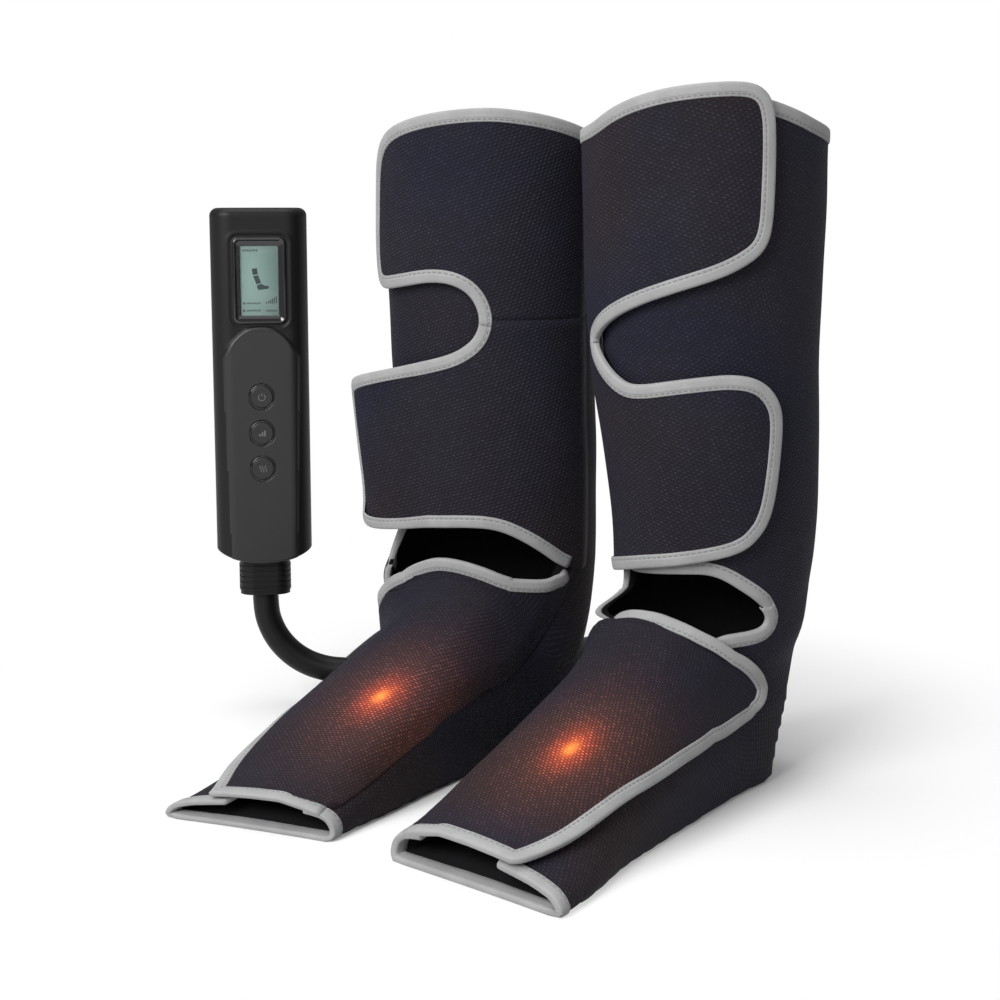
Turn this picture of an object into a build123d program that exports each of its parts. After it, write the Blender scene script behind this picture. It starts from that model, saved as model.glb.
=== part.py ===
"""Air compression leg therapy set: a hand-held pump, its hoses and a pair of open-toe leg boots."""

import os
from math import cos, degrees, pi, radians, sin, tan

from build123d import *

os.makedirs("parts", exist_ok=True)

# ---------------------------------------------------------------- driving dimensions, mm
# Leg boot, seen by its wearer: the toes point to -Y, the outer side of the left boot is +X
boot_spacing = 163.5  # between the two leg axes
rim_height = 405.0  # calf rim at the sides
ankle_height = 130.0  # lower edge of the lower calf flap
calf_height = 243.0  # widest turn of the calf swell
heel_height = 49.0  # top of the upright heel
rim_half_width, rim_half_depth = 72.0, 69.5
calf_half_width, calf_half_depth, calf_back = 68.3, 64.3, 2.7
ankle_half_width, ankle_half_depth, ankle_back = 59.2, 61.5, 12.8
heel_half_width, heel_half_depth, heel_back = 43.2, 51.4, 16.0

toe_reach = 240.0  # toe edge ahead of the leg axis
ball_reach = 150.0
instep_reach = 60.0
toe_half_width, toe_height = 58.0, 25.0
ball_half_width, ball_height = 50.0, 58.0
instep_half_width, instep_height = 44.5, 100.0
root_half_width, root_height = 41.0, 121.0  # where the foot runs into the heel

sole_thickness = 4.0
insole_height, insole_thickness = 7.6, 1.8  # underside of the insole, over the foot bladder
foot_bladder_thickness = 3.0
cover_wall = 2.6
lining_wall = 2.2
bladder_thickness = 1.6
bladder_room = 2.2  # pocket between cover and lining
flap_thickness = 5.0
patch_thickness = 0.8  # hook and loop
seat_gap = 0.1  # glued or sewn faces
soft_gap = 0.6  # faces that part when a flap opens
flap_gap = 2 * (seat_gap + patch_thickness) + soft_gap  # between a closed flap and the cover
pad_thickness, pad_pocket = 1.5, 1.8  # heating pad inside the foot flap

hinge_angle = 36.0  # flap roots, towards the inner side from straight ahead
free_angle = 63.0  # flap edges, towards the outer side
fold_angle = 76.0  # where the outer layer leaves the cover
underlap_angle = 18.0  # end of the panel under the flaps
hinge_gap = 0.9
flap_corner = 26.0
free_edge_turn = 23.0  # from the middle of a flap's outer part to its free edge
patch_margin, patch_turn = 8.0, 32.0  # patches: inside the flap's edge, and round the leg from it
foot_patch_width = 20.0
pad_x, pad_y, pad_width, pad_length = 2.0, 150.0, 46.0, 100.0  # heating pad, seen from above
free_edge_turn = 23.0  # from the middle of a flap's outer part to its free edge
patch_margin, patch_turn = 8.0, 32.0  # patches: inside the flap's edge, and round the leg from it
foot_patch_width = 20.0
pad_x, pad_y, pad_width, pad_length = 2.0, 150.0, 46.0, 100.0  # heating pad, seen from above
upper_flap_bottom, upper_flap_top = 299.0, 417.0
lower_flap_bottom, lower_flap_top = 132.0, 237.5

foot_hinge_x = -32.0  # foot flap root, beside the foot's middle line
foot_slot = 16.0  # width of the slot beside the underlap
foot_flap_rear = 58.0  # rear edge of the foot flap, ahead of the leg axis
foot_flap_sweep = 22.0  # its outer corner lies this much further back
foot_fold_low, foot_fold_rise = 14.0, 0.25  # lower edge of the foot's fold at the toe, and its slope
foot_flap_sweep = 22.0  # its outer corner lies this much further back
foot_fold_low, foot_fold_rise = 14.0, 0.25  # lower edge of the foot's fold at the toe, and its slope
foot_edge_rise = 0.12  # slope of the foot flap's outer edge
foot_edge_height = 28.0  # height of that edge at the toe
foot_corner, foot_toe_corner = 18.0, 3.0

ankle_opening_bottom = 98.0
rim_band = 3.0  # where the lining turns out to the cover at the rims
bladder_margin = 8.0  # from the bladder's edge to the rims and openings
rim_band = 3.0  # where the lining turns out to the cover at the rims
bladder_margin = 8.0  # from the bladder's edge to the rims and openings
ankle_opening_inner, ankle_opening_outer = 38.0, 50.0
seam_height = 112.0  # calf cover above, foot cover below
opening_corner = 12.0

# Hand-held pump, upright on its plug
pump_x, pump_y, pump_z = -258.0, -33.0, 107.5  # lowest point of its case
pump_turn = 43.0  # its face looks this far towards +X from -Y
pump_height, pump_width, pump_depth = 248.5, 67.0, 40.0
pump_corner, pump_top_round, pump_base_sag = 15.0, 5.5, 8.5
pump_wall = 2.2
panel_rise = 1.2
panel_half_width, panel_top, panel_arch = 24.0, 166.0, 20.0
bezel_width, bezel_height, bezel_z, bezel_corner = 36.0, 59.0, 199.0, 4.0
glass_width, glass_height, glass_thickness = 26.0, 48.0, 1.2
button_diameter, button_rise, button_travel = 15.5, 1.4, 1.0
button_z = (118.5, 93.0, 68.0)
button_names = ("power_button", "mode_button", "heat_button")
button_flange, button_stem_radius = 1.0, 2.0
panel_bottom, panel_foot_half_width = 22.0, 22.0
bezel_rise, bezel_flange, glass_ledge = 0.6, 1.0, 1.0
fit_gap = 0.3

board_width, board_height, board_thickness, board_z = 40.0, 186.0, 1.6, 56.0
board_front = 7.6  # board face ahead of the case's middle plane
screw_x, screw_z = 26.0, (30.0, 226.0)
boss_radius, pilot_radius, screw_radius, screw_head_radius = 4.2, 1.55, 1.5, 2.9
screw_seat, screw_head_height, pilot_depth = 10.0, 2.0, 10.0  # seat behind the case's middle plane
post_x, post_z, post_radius = 15.5, (60.0, 145.0, 234.0), 2.2
switch_width, switch_height, switch_front = 6.0, 3.5, -13.0
cell_radius, cell_length, cell_z, cell_gap = 9.1, 65.0, 68.0, 0.9
motor_x, motor_z, motor_radius, motor_length = 14.0, 140.0, 11.0, 28.0
head_y, head_width, head_depth, head_height = 6.0, 20.0, 20.0, 24.0
valve_x, valve_width, valve_height = 14.0, 20.0, 50.0
tube_radius, tube_bore = 2.5, 1.6
tube_x, tube_y, tube_turn_z, tube_drop, tube_bend = 21.5, 5.0, 52.0, 16.0, 8.0
port_y, port_width, port_depth, port_wall, port_bore, port_overlap = 4.3, 8.9, 3.2, 0.4, 6.5, 1.5

# Plug and hoses
plug_width, plug_depth, plug_height, plug_corner = 35.2, 27.0, 23.5, 10.0
plug_rib, plug_ribs = 0.7, 5
spigot_radius, spigot_bore, spigot_length = 6.6, 4.4, 15.0
socket_radius, socket_wall, socket_bottom, socket_length, socket_flange = 7.25, 2.3, 1.0, 23.0, 1.3
seal_inner, seal_z, seal_height = 6.05, 9.0, 2.2
unplug_travel = 24.0
main_radius = 9.25
branch_radius = 6.0
cuff_wall, cuff_length = 2.0, 15.0
tee_radius, tee_stem_radius, tee_half, tee_stem = 8.0, 11.0, 26.0, 24.0
tee_x, tee_y, tee_turn = -129.0, 200.0, 74.0  # the main hose reaches it heading this way from +X
tee_z = tee_stem_radius + 0.3
inlet_z, inlet_radius, inlet_turn = 12.0, 8.0, 44.0
inlet_x, inlet_y = 68.25, 104.0  # mouth of the inlet, to the -X side of the leg axis and ahead of it
inlet_flange, inlet_flange_width, inlet_flange_top = 1.6, 30.0, 24.0


# ---------------------------------------------------------------- boot forms
leg_rings = (
    (0.0, heel_half_width, heel_half_depth, heel_back),
    (heel_height, heel_half_width, heel_half_depth, heel_back),
    (ankle_height, ankle_half_width, ankle_half_depth, ankle_back),
    (calf_height, calf_half_width, calf_half_depth, calf_back),
    (
        (calf_height + rim_height) / 2,
        (calf_half_width + rim_half_width) / 2,
        (calf_half_depth + rim_half_depth) / 2,
        calf_back / 2,
    ),
    (rim_height + flap_corner, rim_half_width, rim_half_depth, 0.0),
)
foot_stations = (
    (-toe_reach, toe_half_width, toe_height),
    (-ball_reach, ball_half_width, ball_height),
    (-instep_reach, instep_half_width, instep_height),
    (heel_back, root_half_width, root_height),
)


def leg_form(inset):
    """The leg as a solid, its side moved in by inset."""
    with BuildPart() as form:
        for height, half_width, half_depth, back in leg_rings:
            with BuildSketch(Plane.XY.offset(height)):
                with Locations((0, back)):
                    Ellipse(half_width - inset, half_depth - inset)
        loft()
    return form.part


def foot_form(inset):
    """The foot as a solid from toe to heel, its sides and top moved in by inset."""
    with BuildPart() as form:
        for place, half_width, top in foot_stations:
            ahead = cover_wall if place == -toe_reach else 0  # so that walls run out through the toe edge
            w, h = half_width - inset, top - inset
            with BuildSketch(Plane(origin=(0, place - ahead, 0), x_dir=(1, 0, 0), z_dir=(0, -1, 0))):
                with BuildLine():
                    Line((-w, 0), (w, 0))
                    Line((w, 0), (w, 0.42 * h))
                    Spline((w, 0.42 * h), (0.66 * w, 0.83 * h), (0, h), (-0.66 * w, 0.93 * h), (-w, 0.58 * h))
                    Line((-w, 0.58 * h), (-w, 0))
                make_face()
        loft()
    return form.part


def boot_form(inset):
    with BuildPart() as form:
        add(leg_form(inset))
        add(foot_form(inset))
    return form.part


def slab(low, high, ahead=toe_reach, behind=-toe_reach):
    """Everything between two heights, from the toe edge backwards."""
    with BuildPart() as block:
        with BuildSketch(Plane.XY.offset(low)):
            with Locations((0, -(ahead + behind) / 2)):
                Rectangle(3 * toe_reach, ahead - behind)
        extrude(amount=high - low)
    return block.part


def slab(low, high, ahead=toe_reach, behind=-toe_reach):
    """Everything between two heights, from the toe edge backwards."""
    with BuildPart() as block:
        with BuildSketch(Plane.XY.offset(low)):
            with Locations((0, -(ahead + behind) / 2)):
                Rectangle(3 * toe_reach, ahead - behind)
        extrude(amount=high - low)
    return block.part


def boot_layer(outer, inner, low, high):
    """A wall between two insets, from one height to another."""
    with BuildPart() as wall:
        add(boot_form(outer))
        add(boot_form(inner), mode=Mode.SUBTRACT)
        add(slab(low, high), mode=Mode.INTERSECT)
    return wall.part


def boot_plate(inset, low, high, ahead=toe_reach, behind=-toe_reach):
    """A level plate that fills the boot's outline."""
    with BuildPart() as plate:
        add(boot_form(inset))
        add(slab(low, high, ahead, behind), mode=Mode.INTERSECT)
    return plate.part


def leg_layer(outer, inner):
    with BuildPart() as wall:
        add(leg_form(outer))
        add(leg_form(inner), mode=Mode.SUBTRACT)
    return wall.part


def foot_layer(outer, inner):
    with BuildPart() as wall:
        add(foot_form(outer))
        add(foot_form(inner), mode=Mode.SUBTRACT)
        add(slab(sole_thickness + seat_gap, 2 * instep_height), mode=Mode.INTERSECT)
    return wall.part


def sector(start, end, low, high):
    """An upright wedge about the leg axis; angles run from straight ahead to the outer side."""
    reach = 3 * rim_half_width
    middle = (start + end) / 2
    with BuildPart() as wedge:
        with BuildSketch(Plane.XY.offset(low)):
            with BuildLine():
                Polyline(
                    (0, calf_back),
                    (reach * sin(radians(start)), calf_back - reach * cos(radians(start))),
                    (2 * reach * sin(radians(middle)), calf_back - 2 * reach * cos(radians(middle))),
                    (reach * sin(radians(end)), calf_back - reach * cos(radians(end))),
                    close=True,
                )
            make_face()
        extrude(amount=high - low)
    return wedge.part


def side_look():
    """The plane square to the outer part of the calf flaps, through the leg axis."""
    look = radians(free_angle - free_edge_turn)
    return Plane(origin=(0, 0, 0), x_dir=(cos(look), sin(look), 0), z_dir=(sin(look), -cos(look), 0))


def side_look():
    """The plane square to the outer part of the calf flaps, through the leg axis."""
    look = radians(free_angle - free_edge_turn)
    return Plane(origin=(0, 0, 0), x_dir=(cos(look), sin(look), 0), z_dir=(sin(look), -cos(look), 0))


def flap_window(low, high, margin=0.0):
    """A calf flap's outline with its rounded free corners, as a solid that cuts it out."""
    edge = rim_half_width * sin(radians(free_edge_turn)) - margin
    far = 3 * rim_half_width
    with BuildPart() as window:
        with BuildSketch(side_look()):
            with BuildLine():
                FilletPolyline(
                    (-far, low + margin),
                    (edge, low + margin),
                    (edge, high - margin),
                    (-far, high - margin),
                    radius=flap_corner - margin,
                )
                Line((-far, high - margin), (-far, low + margin))
            make_face()
        extrude(amount=2 * rim_half_width)
    return window.part


def calf_flap(low, high):
    with BuildPart() as flap:
        add(leg_layer(-flap_gap - flap_thickness, -flap_gap))
        add(flap_window(low, high), mode=Mode.INTERSECT)
        add(sector(-hinge_angle, 90, low, high), mode=Mode.INTERSECT)
    return flap.part


def calf_patch(outer, inner, low, high):
    """A hook or loop patch near the free edge of a calf flap."""
    with BuildPart() as patch:
        add(leg_layer(outer, inner))
        add(flap_window(low, min(high, rim_height), margin=patch_margin), mode=Mode.INTERSECT)
        add(sector(free_angle - patch_turn, 90, low, high), mode=Mode.INTERSECT)
    return patch.part


def foot_window(margin=0.0):
    """The foot flap's outline seen from the outer side, from its root outwards."""
    toe, rear = -toe_reach + margin, -foot_flap_rear - margin
    high = 2 * instep_height
    edge_toe = foot_edge_height + margin
    edge_rear = edge_toe + foot_edge_rise * (toe_reach - foot_flap_rear)
    with BuildPart() as window:
        with BuildSketch(Plane(origin=(foot_hinge_x, 0, 0), x_dir=(0, 1, 0), z_dir=(1, 0, 0))):
            with BuildLine():
                FilletPolyline(
                    (toe, high),
                    (toe, edge_toe),
                    (rear + foot_flap_sweep, edge_rear),
                    (rear, instep_height),
                    (rear, high),
                    radius=[foot_toe_corner, foot_corner, foot_corner],
                )
                Line((rear, high), (toe, high))
            make_face()
        extrude(amount=3 * toe_half_width)
    return window.part


def foot_patch(outer, inner):
    with BuildPart() as patch:
        add(foot_layer(outer, inner))
        add(foot_window(patch_margin), mode=Mode.INTERSECT)
        with BuildSketch(Plane.XY):
            with Locations((ball_half_width, -(toe_reach + foot_flap_rear) / 2)):
                Rectangle(2 * foot_patch_width, toe_reach - foot_flap_rear - 4 * patch_margin)
        extrude(amount=2 * instep_height, mode=Mode.INTERSECT)
    return patch.part


def pad_block(shrink):
    """The room of the heating pad over the instep."""
    with BuildPart() as block:
        with BuildSketch(Plane.XY):
            with Locations((pad_x, -pad_y)):
                RectangleRounded(pad_width - 2 * shrink, pad_length - 2 * shrink, 8)
        extrude(amount=2 * instep_height)
    return block.part


def ankle_opening():
    """The opening ahead of the ankle, from the foot flap up to the lower calf flap."""
    middle = (ankle_opening_outer - ankle_opening_inner) / 2
    with BuildPart() as opening:
        with BuildSketch(Plane.XZ):
            with Locations((middle, (ankle_opening_bottom + ankle_height) / 2)):
                RectangleRounded(
                    ankle_opening_inner + ankle_opening_outer, ankle_height - ankle_opening_bottom, opening_corner
                )
        extrude(amount=foot_flap_rear)
    return opening.part


def foot_slot_block():
    """The slot beside the foot flap's root, under the flap."""
    with BuildPart() as block:
        with BuildSketch(Plane.XY.offset(insole_height + insole_thickness)):
            with Locations((foot_hinge_x + cover_wall + foot_slot / 2, -toe_reach)):
                Rectangle(foot_slot, 2 * (toe_reach - foot_flap_rear))
        extrude(amount=2 * instep_height)
    return block.part


# ---------------------------------------------------------------- boot pieces, left boot about its leg axis
with BuildPart() as calf_fold:
    add(leg_layer(-flap_gap - flap_thickness, cover_wall / 2))
    edge_angle = -hinge_angle - degrees(hinge_gap / rim_half_width)
    add(sector(-fold_angle, edge_angle, ankle_height, rim_height), mode=Mode.INTERSECT)

with BuildPart() as foot_fold:
    add(foot_layer(-flap_gap - flap_thickness, cover_wall / 2))
    with BuildSketch(Plane(origin=(foot_hinge_x - hinge_gap / 2, 0, 0), x_dir=(0, 1, 0), z_dir=(1, 0, 0))):
        with BuildLine():
            Polyline(
                (-toe_reach, foot_fold_low),
                (-foot_flap_rear, foot_fold_low + foot_fold_rise * (toe_reach - foot_flap_rear)),
                (-foot_flap_rear, 2 * instep_height),
                (-toe_reach, 2 * instep_height),
                close=True,
            )
        make_face()
    extrude(amount=-2 * toe_half_width, mode=Mode.INTERSECT)

with BuildPart() as calf_cover:
    add(boot_layer(0, cover_wall, seam_height, rim_height))
    add(sector(-hinge_angle + 2, -underlap_angle, 0, 2 * rim_height), mode=Mode.SUBTRACT)
    add(calf_fold.part)
    add(ankle_opening(), mode=Mode.SUBTRACT)

with BuildPart() as calf_lining:
    add(boot_layer(cover_wall + bladder_room, cover_wall + bladder_room + lining_wall, seam_height, rim_height))
    add(boot_layer(cover_wall + seat_gap, cover_wall + bladder_room + 0.5, rim_height - rim_band, rim_height))
    add(sector(-hinge_angle + 2, -underlap_angle, 0, 2 * rim_height), mode=Mode.SUBTRACT)
    add(ankle_opening(), mode=Mode.SUBTRACT)

bladder_inset = cover_wall + (bladder_room - bladder_thickness) / 2
with BuildPart() as calf_bladder:
    low, high = ankle_height + bladder_margin, rim_height - rim_band - bladder_margin
    add(boot_layer(bladder_inset, bladder_inset + bladder_thickness, low, high))
    add(sector(-hinge_angle - 6, -underlap_angle + 6, 0, 2 * rim_height), mode=Mode.SUBTRACT)

with BuildPart() as sole:
    add(boot_plate(0, 0, sole_thickness))

with BuildPart() as foot_cover:
    add(boot_layer(0, cover_wall, sole_thickness + seat_gap, seam_height - seat_gap))
    add(foot_slot_block(), mode=Mode.SUBTRACT)
    add(foot_fold.part)
    add(ankle_opening(), mode=Mode.SUBTRACT)

lining_inset = cover_wall + bladder_room
with BuildPart() as foot_lining:
    add(boot_layer(lining_inset, lining_inset + lining_wall, sole_thickness + seat_gap, seam_height - seat_gap))
    add(boot_plate(lining_inset + lining_wall / 2, insole_height, insole_height + insole_thickness))
    add(foot_slot_block(), mode=Mode.SUBTRACT)
    add(ankle_opening(), mode=Mode.SUBTRACT)

with BuildPart() as foot_bladder:
    low = sole_thickness + (insole_height - sole_thickness - foot_bladder_thickness) / 2
    reach = toe_reach - 3 * bladder_margin
    add(boot_plate(lining_inset + lining_wall + soft_gap, low, low + foot_bladder_thickness, ahead=reach))

with BuildPart() as foot_flap:
    add(foot_layer(-flap_gap - flap_thickness, -flap_gap))
    add(foot_window(), mode=Mode.INTERSECT)
pocket_middle = flap_gap + flap_thickness / 2
with BuildPart() as pad_room:
    add(foot_layer(-pocket_middle - pad_pocket / 2, -pocket_middle + pad_pocket / 2))
    add(pad_block(0), mode=Mode.INTERSECT)
with BuildPart() as foot_flap_with_pocket:
    add(foot_flap.part)
    add(pad_room.part, mode=Mode.SUBTRACT)
with BuildPart() as heating_pad:
    add(foot_layer(-pocket_middle - pad_thickness / 2, -pocket_middle + pad_thickness / 2))
    add(pad_block(pad_pocket - pad_thickness), mode=Mode.INTERSECT)

hook_outer = -flap_gap + seat_gap
loop_outer = -seat_gap - patch_thickness
with BuildPart() as loop_panels:
    add(calf_patch(loop_outer, -seat_gap, upper_flap_bottom, upper_flap_top))
    add(calf_patch(loop_outer, -seat_gap, lower_flap_bottom, lower_flap_top))
    add(foot_patch(loop_outer, -seat_gap))

boot = {
    "calf_cover": calf_cover.part,
    "calf_lining": calf_lining.part,
    "calf_bladder": calf_bladder.part,
    "sole": sole.part,
    "foot_cover": foot_cover.part,
    "foot_lining": foot_lining.part,
    "foot_bladder": foot_bladder.part,
    "upper_calf_flap": calf_flap(upper_flap_bottom, upper_flap_top),
    "lower_calf_flap": calf_flap(lower_flap_bottom, lower_flap_top),
    "foot_flap": foot_flap_with_pocket.part,
    "heating_pad": heating_pad.part,
    "upper_flap_hook": calf_patch(hook_outer, hook_outer + patch_thickness, upper_flap_bottom, upper_flap_top),
    "lower_flap_hook": calf_patch(hook_outer, hook_outer + patch_thickness, lower_flap_bottom, lower_flap_top),
    "foot_flap_hook": foot_patch(hook_outer, hook_outer + patch_thickness),
    "loop_panels": loop_panels.part,
}

# air inlet on the -X side of either foot; its mouth faces back towards the hose
inlet_way = (sin(radians(inlet_turn)), -cos(radians(inlet_turn)), 0)
with BuildPart() as inlet_plate:
    with BuildSketch(Plane(origin=(-inlet_x, 0, 0), x_dir=(0, 1, 0), z_dir=(1, 0, 0))):
        with Locations((-inlet_y - 2 * inlet_radius, (sole_thickness + inlet_flange_top) / 2)):
            RectangleRounded(inlet_flange_width, inlet_flange_top - sole_thickness - 2 * seat_gap, 3)
    extrude(amount=inlet_x)
    add(foot_form(-seat_gap - inlet_flange), mode=Mode.INTERSECT)
with BuildPart() as hose_inlet:
    with BuildSketch(Plane(origin=(-inlet_x, -inlet_y, inlet_z), z_dir=inlet_way)):
        Circle(inlet_radius)
    extrude(amount=inlet_x)
    add(inlet_plate.part)
    add(foot_form(-seat_gap), mode=Mode.SUBTRACT)

# ---------------------------------------------------------------- pump, about the lowest point of its case
pump_front, pump_back = -pump_depth / 2, pump_depth / 2
panel_front = pump_front - panel_rise
front_inside = pump_front + pump_wall


def front_plane(depth):
    """A plane square to the pump's face; sketches on it are seen from the front and extrude forwards."""
    return Plane(origin=(0, depth, 0), x_dir=(1, 0, 0), z_dir=(0, -1, 0))


def pump_form(inset):
    """The case as a solid, moved in by inset all over."""
    base_radius = (pump_width**2 / 4 + pump_base_sag**2) / (2 * pump_base_sag)
    half = pump_width / 2
    with BuildPart() as form:
        with BuildSketch(Plane.XY.offset(-pump_base_sag)):
            RectangleRounded(pump_width - 2 * inset, pump_depth - 2 * inset, pump_corner - inset)
        extrude(amount=pump_height + pump_base_sag - inset)
        fillet(form.edges().group_by(Axis.Z)[-1], pump_top_round - inset)
        with BuildSketch(front_plane(pump_back)):
            with Locations((0, base_radius)):
                Circle(base_radius - inset)
            with Locations((0, base_radius + pump_height / 2)):
                Rectangle(2 * half, pump_height)
        extrude(amount=pump_depth, mode=Mode.INTERSECT)
    return form.part


def case_shell():
    with BuildPart() as shell:
        add(pump_form(0))
        add(pump_form(pump_wall), mode=Mode.SUBTRACT)
    return shell.part


boss_places = [(x, z) for x in (-screw_x, screw_x) for z in screw_z]
post_places = [(x, z) for x in (-post_x, post_x) for z in post_z]

with BuildPart() as front_supports:
    with BuildSketch(front_plane(-seat_gap / 2)):
        with Locations(boss_places):
            Circle(boss_radius)
    extrude(amount=pump_depth / 2 - pump_wall / 2)
    with BuildSketch(front_plane(-board_front - seat_gap)):
        with Locations(post_places):
            Circle(post_radius)
    extrude(amount=pump_depth / 2 - pump_wall / 2 - board_front)
    add(pump_form(pump_wall / 2), mode=Mode.INTERSECT)

with BuildPart() as front_housing:
    add(case_shell())
    with BuildSketch(front_plane(pump_front + pump_wall / 2)):
        with BuildLine():
            Polyline(
                (-panel_half_width, panel_top - panel_arch),
                (-panel_foot_half_width, panel_bottom),
                (panel_foot_half_width, panel_bottom),
                (panel_half_width, panel_top - panel_arch),
            )
            ThreePointArc(
                (panel_half_width, panel_top - panel_arch),
                (0, panel_top),
                (-panel_half_width, panel_top - panel_arch),
            )
        make_face()
    extrude(amount=pump_wall / 2 + panel_rise)
    split(bisect_by=Plane.XZ.offset(seat_gap / 2), keep=Keep.TOP)
    add(front_supports.part)
    with BuildSketch(front_plane(-seat_gap / 2)):
        with Locations(boss_places):
            Circle(pilot_radius)
    extrude(amount=pilot_depth, mode=Mode.SUBTRACT)
    with BuildSketch(front_plane(front_inside + seat_gap)):
        with Locations((0, bezel_z)):
            RectangleRounded(bezel_width + 2 * fit_gap, bezel_height + 2 * fit_gap, bezel_corner + fit_gap)
    extrude(amount=pump_depth, mode=Mode.SUBTRACT)
    with BuildSketch(front_plane(front_inside + seat_gap)):
        with Locations([(0, z) for z in button_z]):
            Circle(button_diameter / 2 + fit_gap)
    extrude(amount=pump_depth, mode=Mode.SUBTRACT)
    with BuildSketch(Plane.XY.offset(-pump_base_sag)):
        Circle(socket_radius + socket_wall + fit_gap)
    extrude(amount=pump_base_sag + 3 * pump_wall, mode=Mode.SUBTRACT)
    with BuildSketch(Plane.XY.offset(pump_height - 2 * pump_wall)):
        with Locations((0, -port_y)):
            RectangleRounded(port_width + 2 * fit_gap, port_depth + 2 * fit_gap, port_depth / 2)
    extrude(amount=2 * pump_wall, mode=Mode.SUBTRACT)

with BuildPart() as rear_supports:
    with BuildSketch(front_plane(pump_back)):
        with Locations(boss_places):
            Circle(boss_radius)
    extrude(amount=pump_depth / 2 - seat_gap / 2)
    add(pump_form(pump_wall / 2), mode=Mode.INTERSECT)

with BuildPart() as rear_housing:
    add(case_shell())
    split(bisect_by=Plane.XZ.offset(-seat_gap / 2), keep=Keep.BOTTOM)
    add(rear_supports.part)
    with BuildSketch(front_plane(pump_back)):
        with Locations(boss_places):
            Circle(screw_radius + 2 * seat_gap)
    extrude(amount=pump_depth / 2, mode=Mode.SUBTRACT)
    with BuildSketch(front_plane(screw_seat)):
        with Locations(boss_places):
            Circle(screw_head_radius + fit_gap)
    extrude(amount=-pump_depth, mode=Mode.SUBTRACT)
    with BuildSketch(Plane.XY.offset(-pump_base_sag)):
        Circle(socket_radius + socket_wall + fit_gap)
    extrude(amount=pump_base_sag + 3 * pump_wall, mode=Mode.SUBTRACT)

with BuildPart() as case_screws:
    with BuildSketch(front_plane(screw_seat + screw_head_height)):
        with Locations(boss_places):
            Circle(screw_head_radius)
    extrude(amount=screw_head_height - seat_gap)
    with BuildSketch(front_plane(screw_seat + screw_head_height / 2)):
        with Locations(boss_places):
            Circle(screw_radius)
    extrude(amount=screw_seat + screw_head_height / 2 + pilot_depth - 2)
    with BuildSketch(front_plane(screw_seat + screw_head_height)):
        with Locations(boss_places):
            RegularPolygon(screw_head_radius / 2, 6)
    extrude(amount=screw_head_height / 2, mode=Mode.SUBTRACT)

bezel_back = front_inside + seat_gap + bezel_flange
with BuildPart() as display_bezel:
    with BuildSketch(front_plane(bezel_back)):
        with Locations((0, bezel_z)):
            RectangleRounded(bezel_width, bezel_height, bezel_corner)
    extrude(amount=bezel_back - pump_front + bezel_rise)
    with BuildSketch(front_plane(bezel_back)):
        with Locations((0, bezel_z)):
            RectangleRounded(bezel_width + 4 * bezel_flange, bezel_height + 4 * bezel_flange, bezel_corner)
    extrude(amount=bezel_flange)
    with BuildSketch(front_plane(bezel_back)):
        with Locations((0, bezel_z)):
            Rectangle(glass_width - 2 * glass_ledge, glass_height - 2 * glass_ledge)
    extrude(amount=pump_depth, mode=Mode.SUBTRACT)
    with BuildSketch(front_plane(pump_front - bezel_rise + glass_thickness + seat_gap)):
        with Locations((0, bezel_z)):
            Rectangle(glass_width + 2 * seat_gap, glass_height + 2 * seat_gap)
    extrude(amount=pump_depth, mode=Mode.SUBTRACT)

with BuildPart() as display_window:
    with BuildSketch(front_plane(pump_front - bezel_rise + glass_thickness)):
        with Locations((0, bezel_z)):
            Rectangle(glass_width, glass_height)
    extrude(amount=glass_thickness)

with BuildPart() as circuit_board:
    with BuildSketch(front_plane(board_thickness - board_front)):
        with Locations((0, board_z + board_height / 2)):
            Rectangle(board_width, board_height)
    extrude(amount=board_thickness)

with BuildPart() as display_panel:
    with BuildSketch(front_plane(-board_front - seat_gap)):
        with Locations((0, bezel_z)):
            Rectangle(bezel_width - 2 * glass_ledge, bezel_height - 2 * glass_ledge)
    extrude(amount=-bezel_back - 2 * seat_gap - board_front)

buttons = {}
flange_front = front_inside + 2 * seat_gap
for name, place in zip(button_names, button_z):
    with BuildPart() as button:
        with BuildSketch(front_plane(flange_front + button_flange)):
            with Locations((0, place)):
                Circle(button_diameter / 2 + button_flange + fit_gap)
        extrude(amount=button_flange)
        with BuildSketch(front_plane(flange_front + button_flange)):
            with Locations((0, place)):
                Circle(button_diameter / 2)
        extrude(amount=flange_front + button_flange - panel_front + button_rise)
        fillet(button.faces().sort_by(Axis.Y)[0].edges(), 0.6)
        with BuildSketch(front_plane(switch_front - button_travel - fit_gap)):
            with Locations((0, place)):
                Circle(button_stem_radius)
        extrude(amount=switch_front - button_travel - fit_gap - flange_front)
    buttons[name] = button.part

with BuildPart() as tact_switches:
    with BuildSketch(front_plane(-board_front - seat_gap)):
        with Locations([(0, z) for z in button_z]):
            Rectangle(switch_width, switch_width)
    extrude(amount=switch_height)
    with BuildSketch(front_plane(-board_front - seat_gap - switch_height)):
        with Locations([(0, z) for z in button_z]):
            Circle(button_stem_radius)
    extrude(amount=-board_front - seat_gap - switch_height - switch_front)

cell_y = pump_back - pump_wall - seat_gap - cell_radius
with BuildPart() as battery_cells:
    with BuildSketch(Plane.XY.offset(cell_z)):
        with Locations((-cell_radius - cell_gap, cell_y), (cell_radius + cell_gap, cell_y)):
            Circle(cell_radius)
    extrude(amount=cell_length)
    chamfer(battery_cells.edges().filter_by(GeomType.CIRCLE), 0.6)

motor_y = pump_back - pump_wall - fit_gap - motor_radius
with BuildPart() as pump_motor:
    with BuildSketch(Plane.XY.offset(motor_z)):
        with Locations((-motor_x, motor_y)):
            Circle(motor_radius)
    extrude(amount=motor_length)

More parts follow.
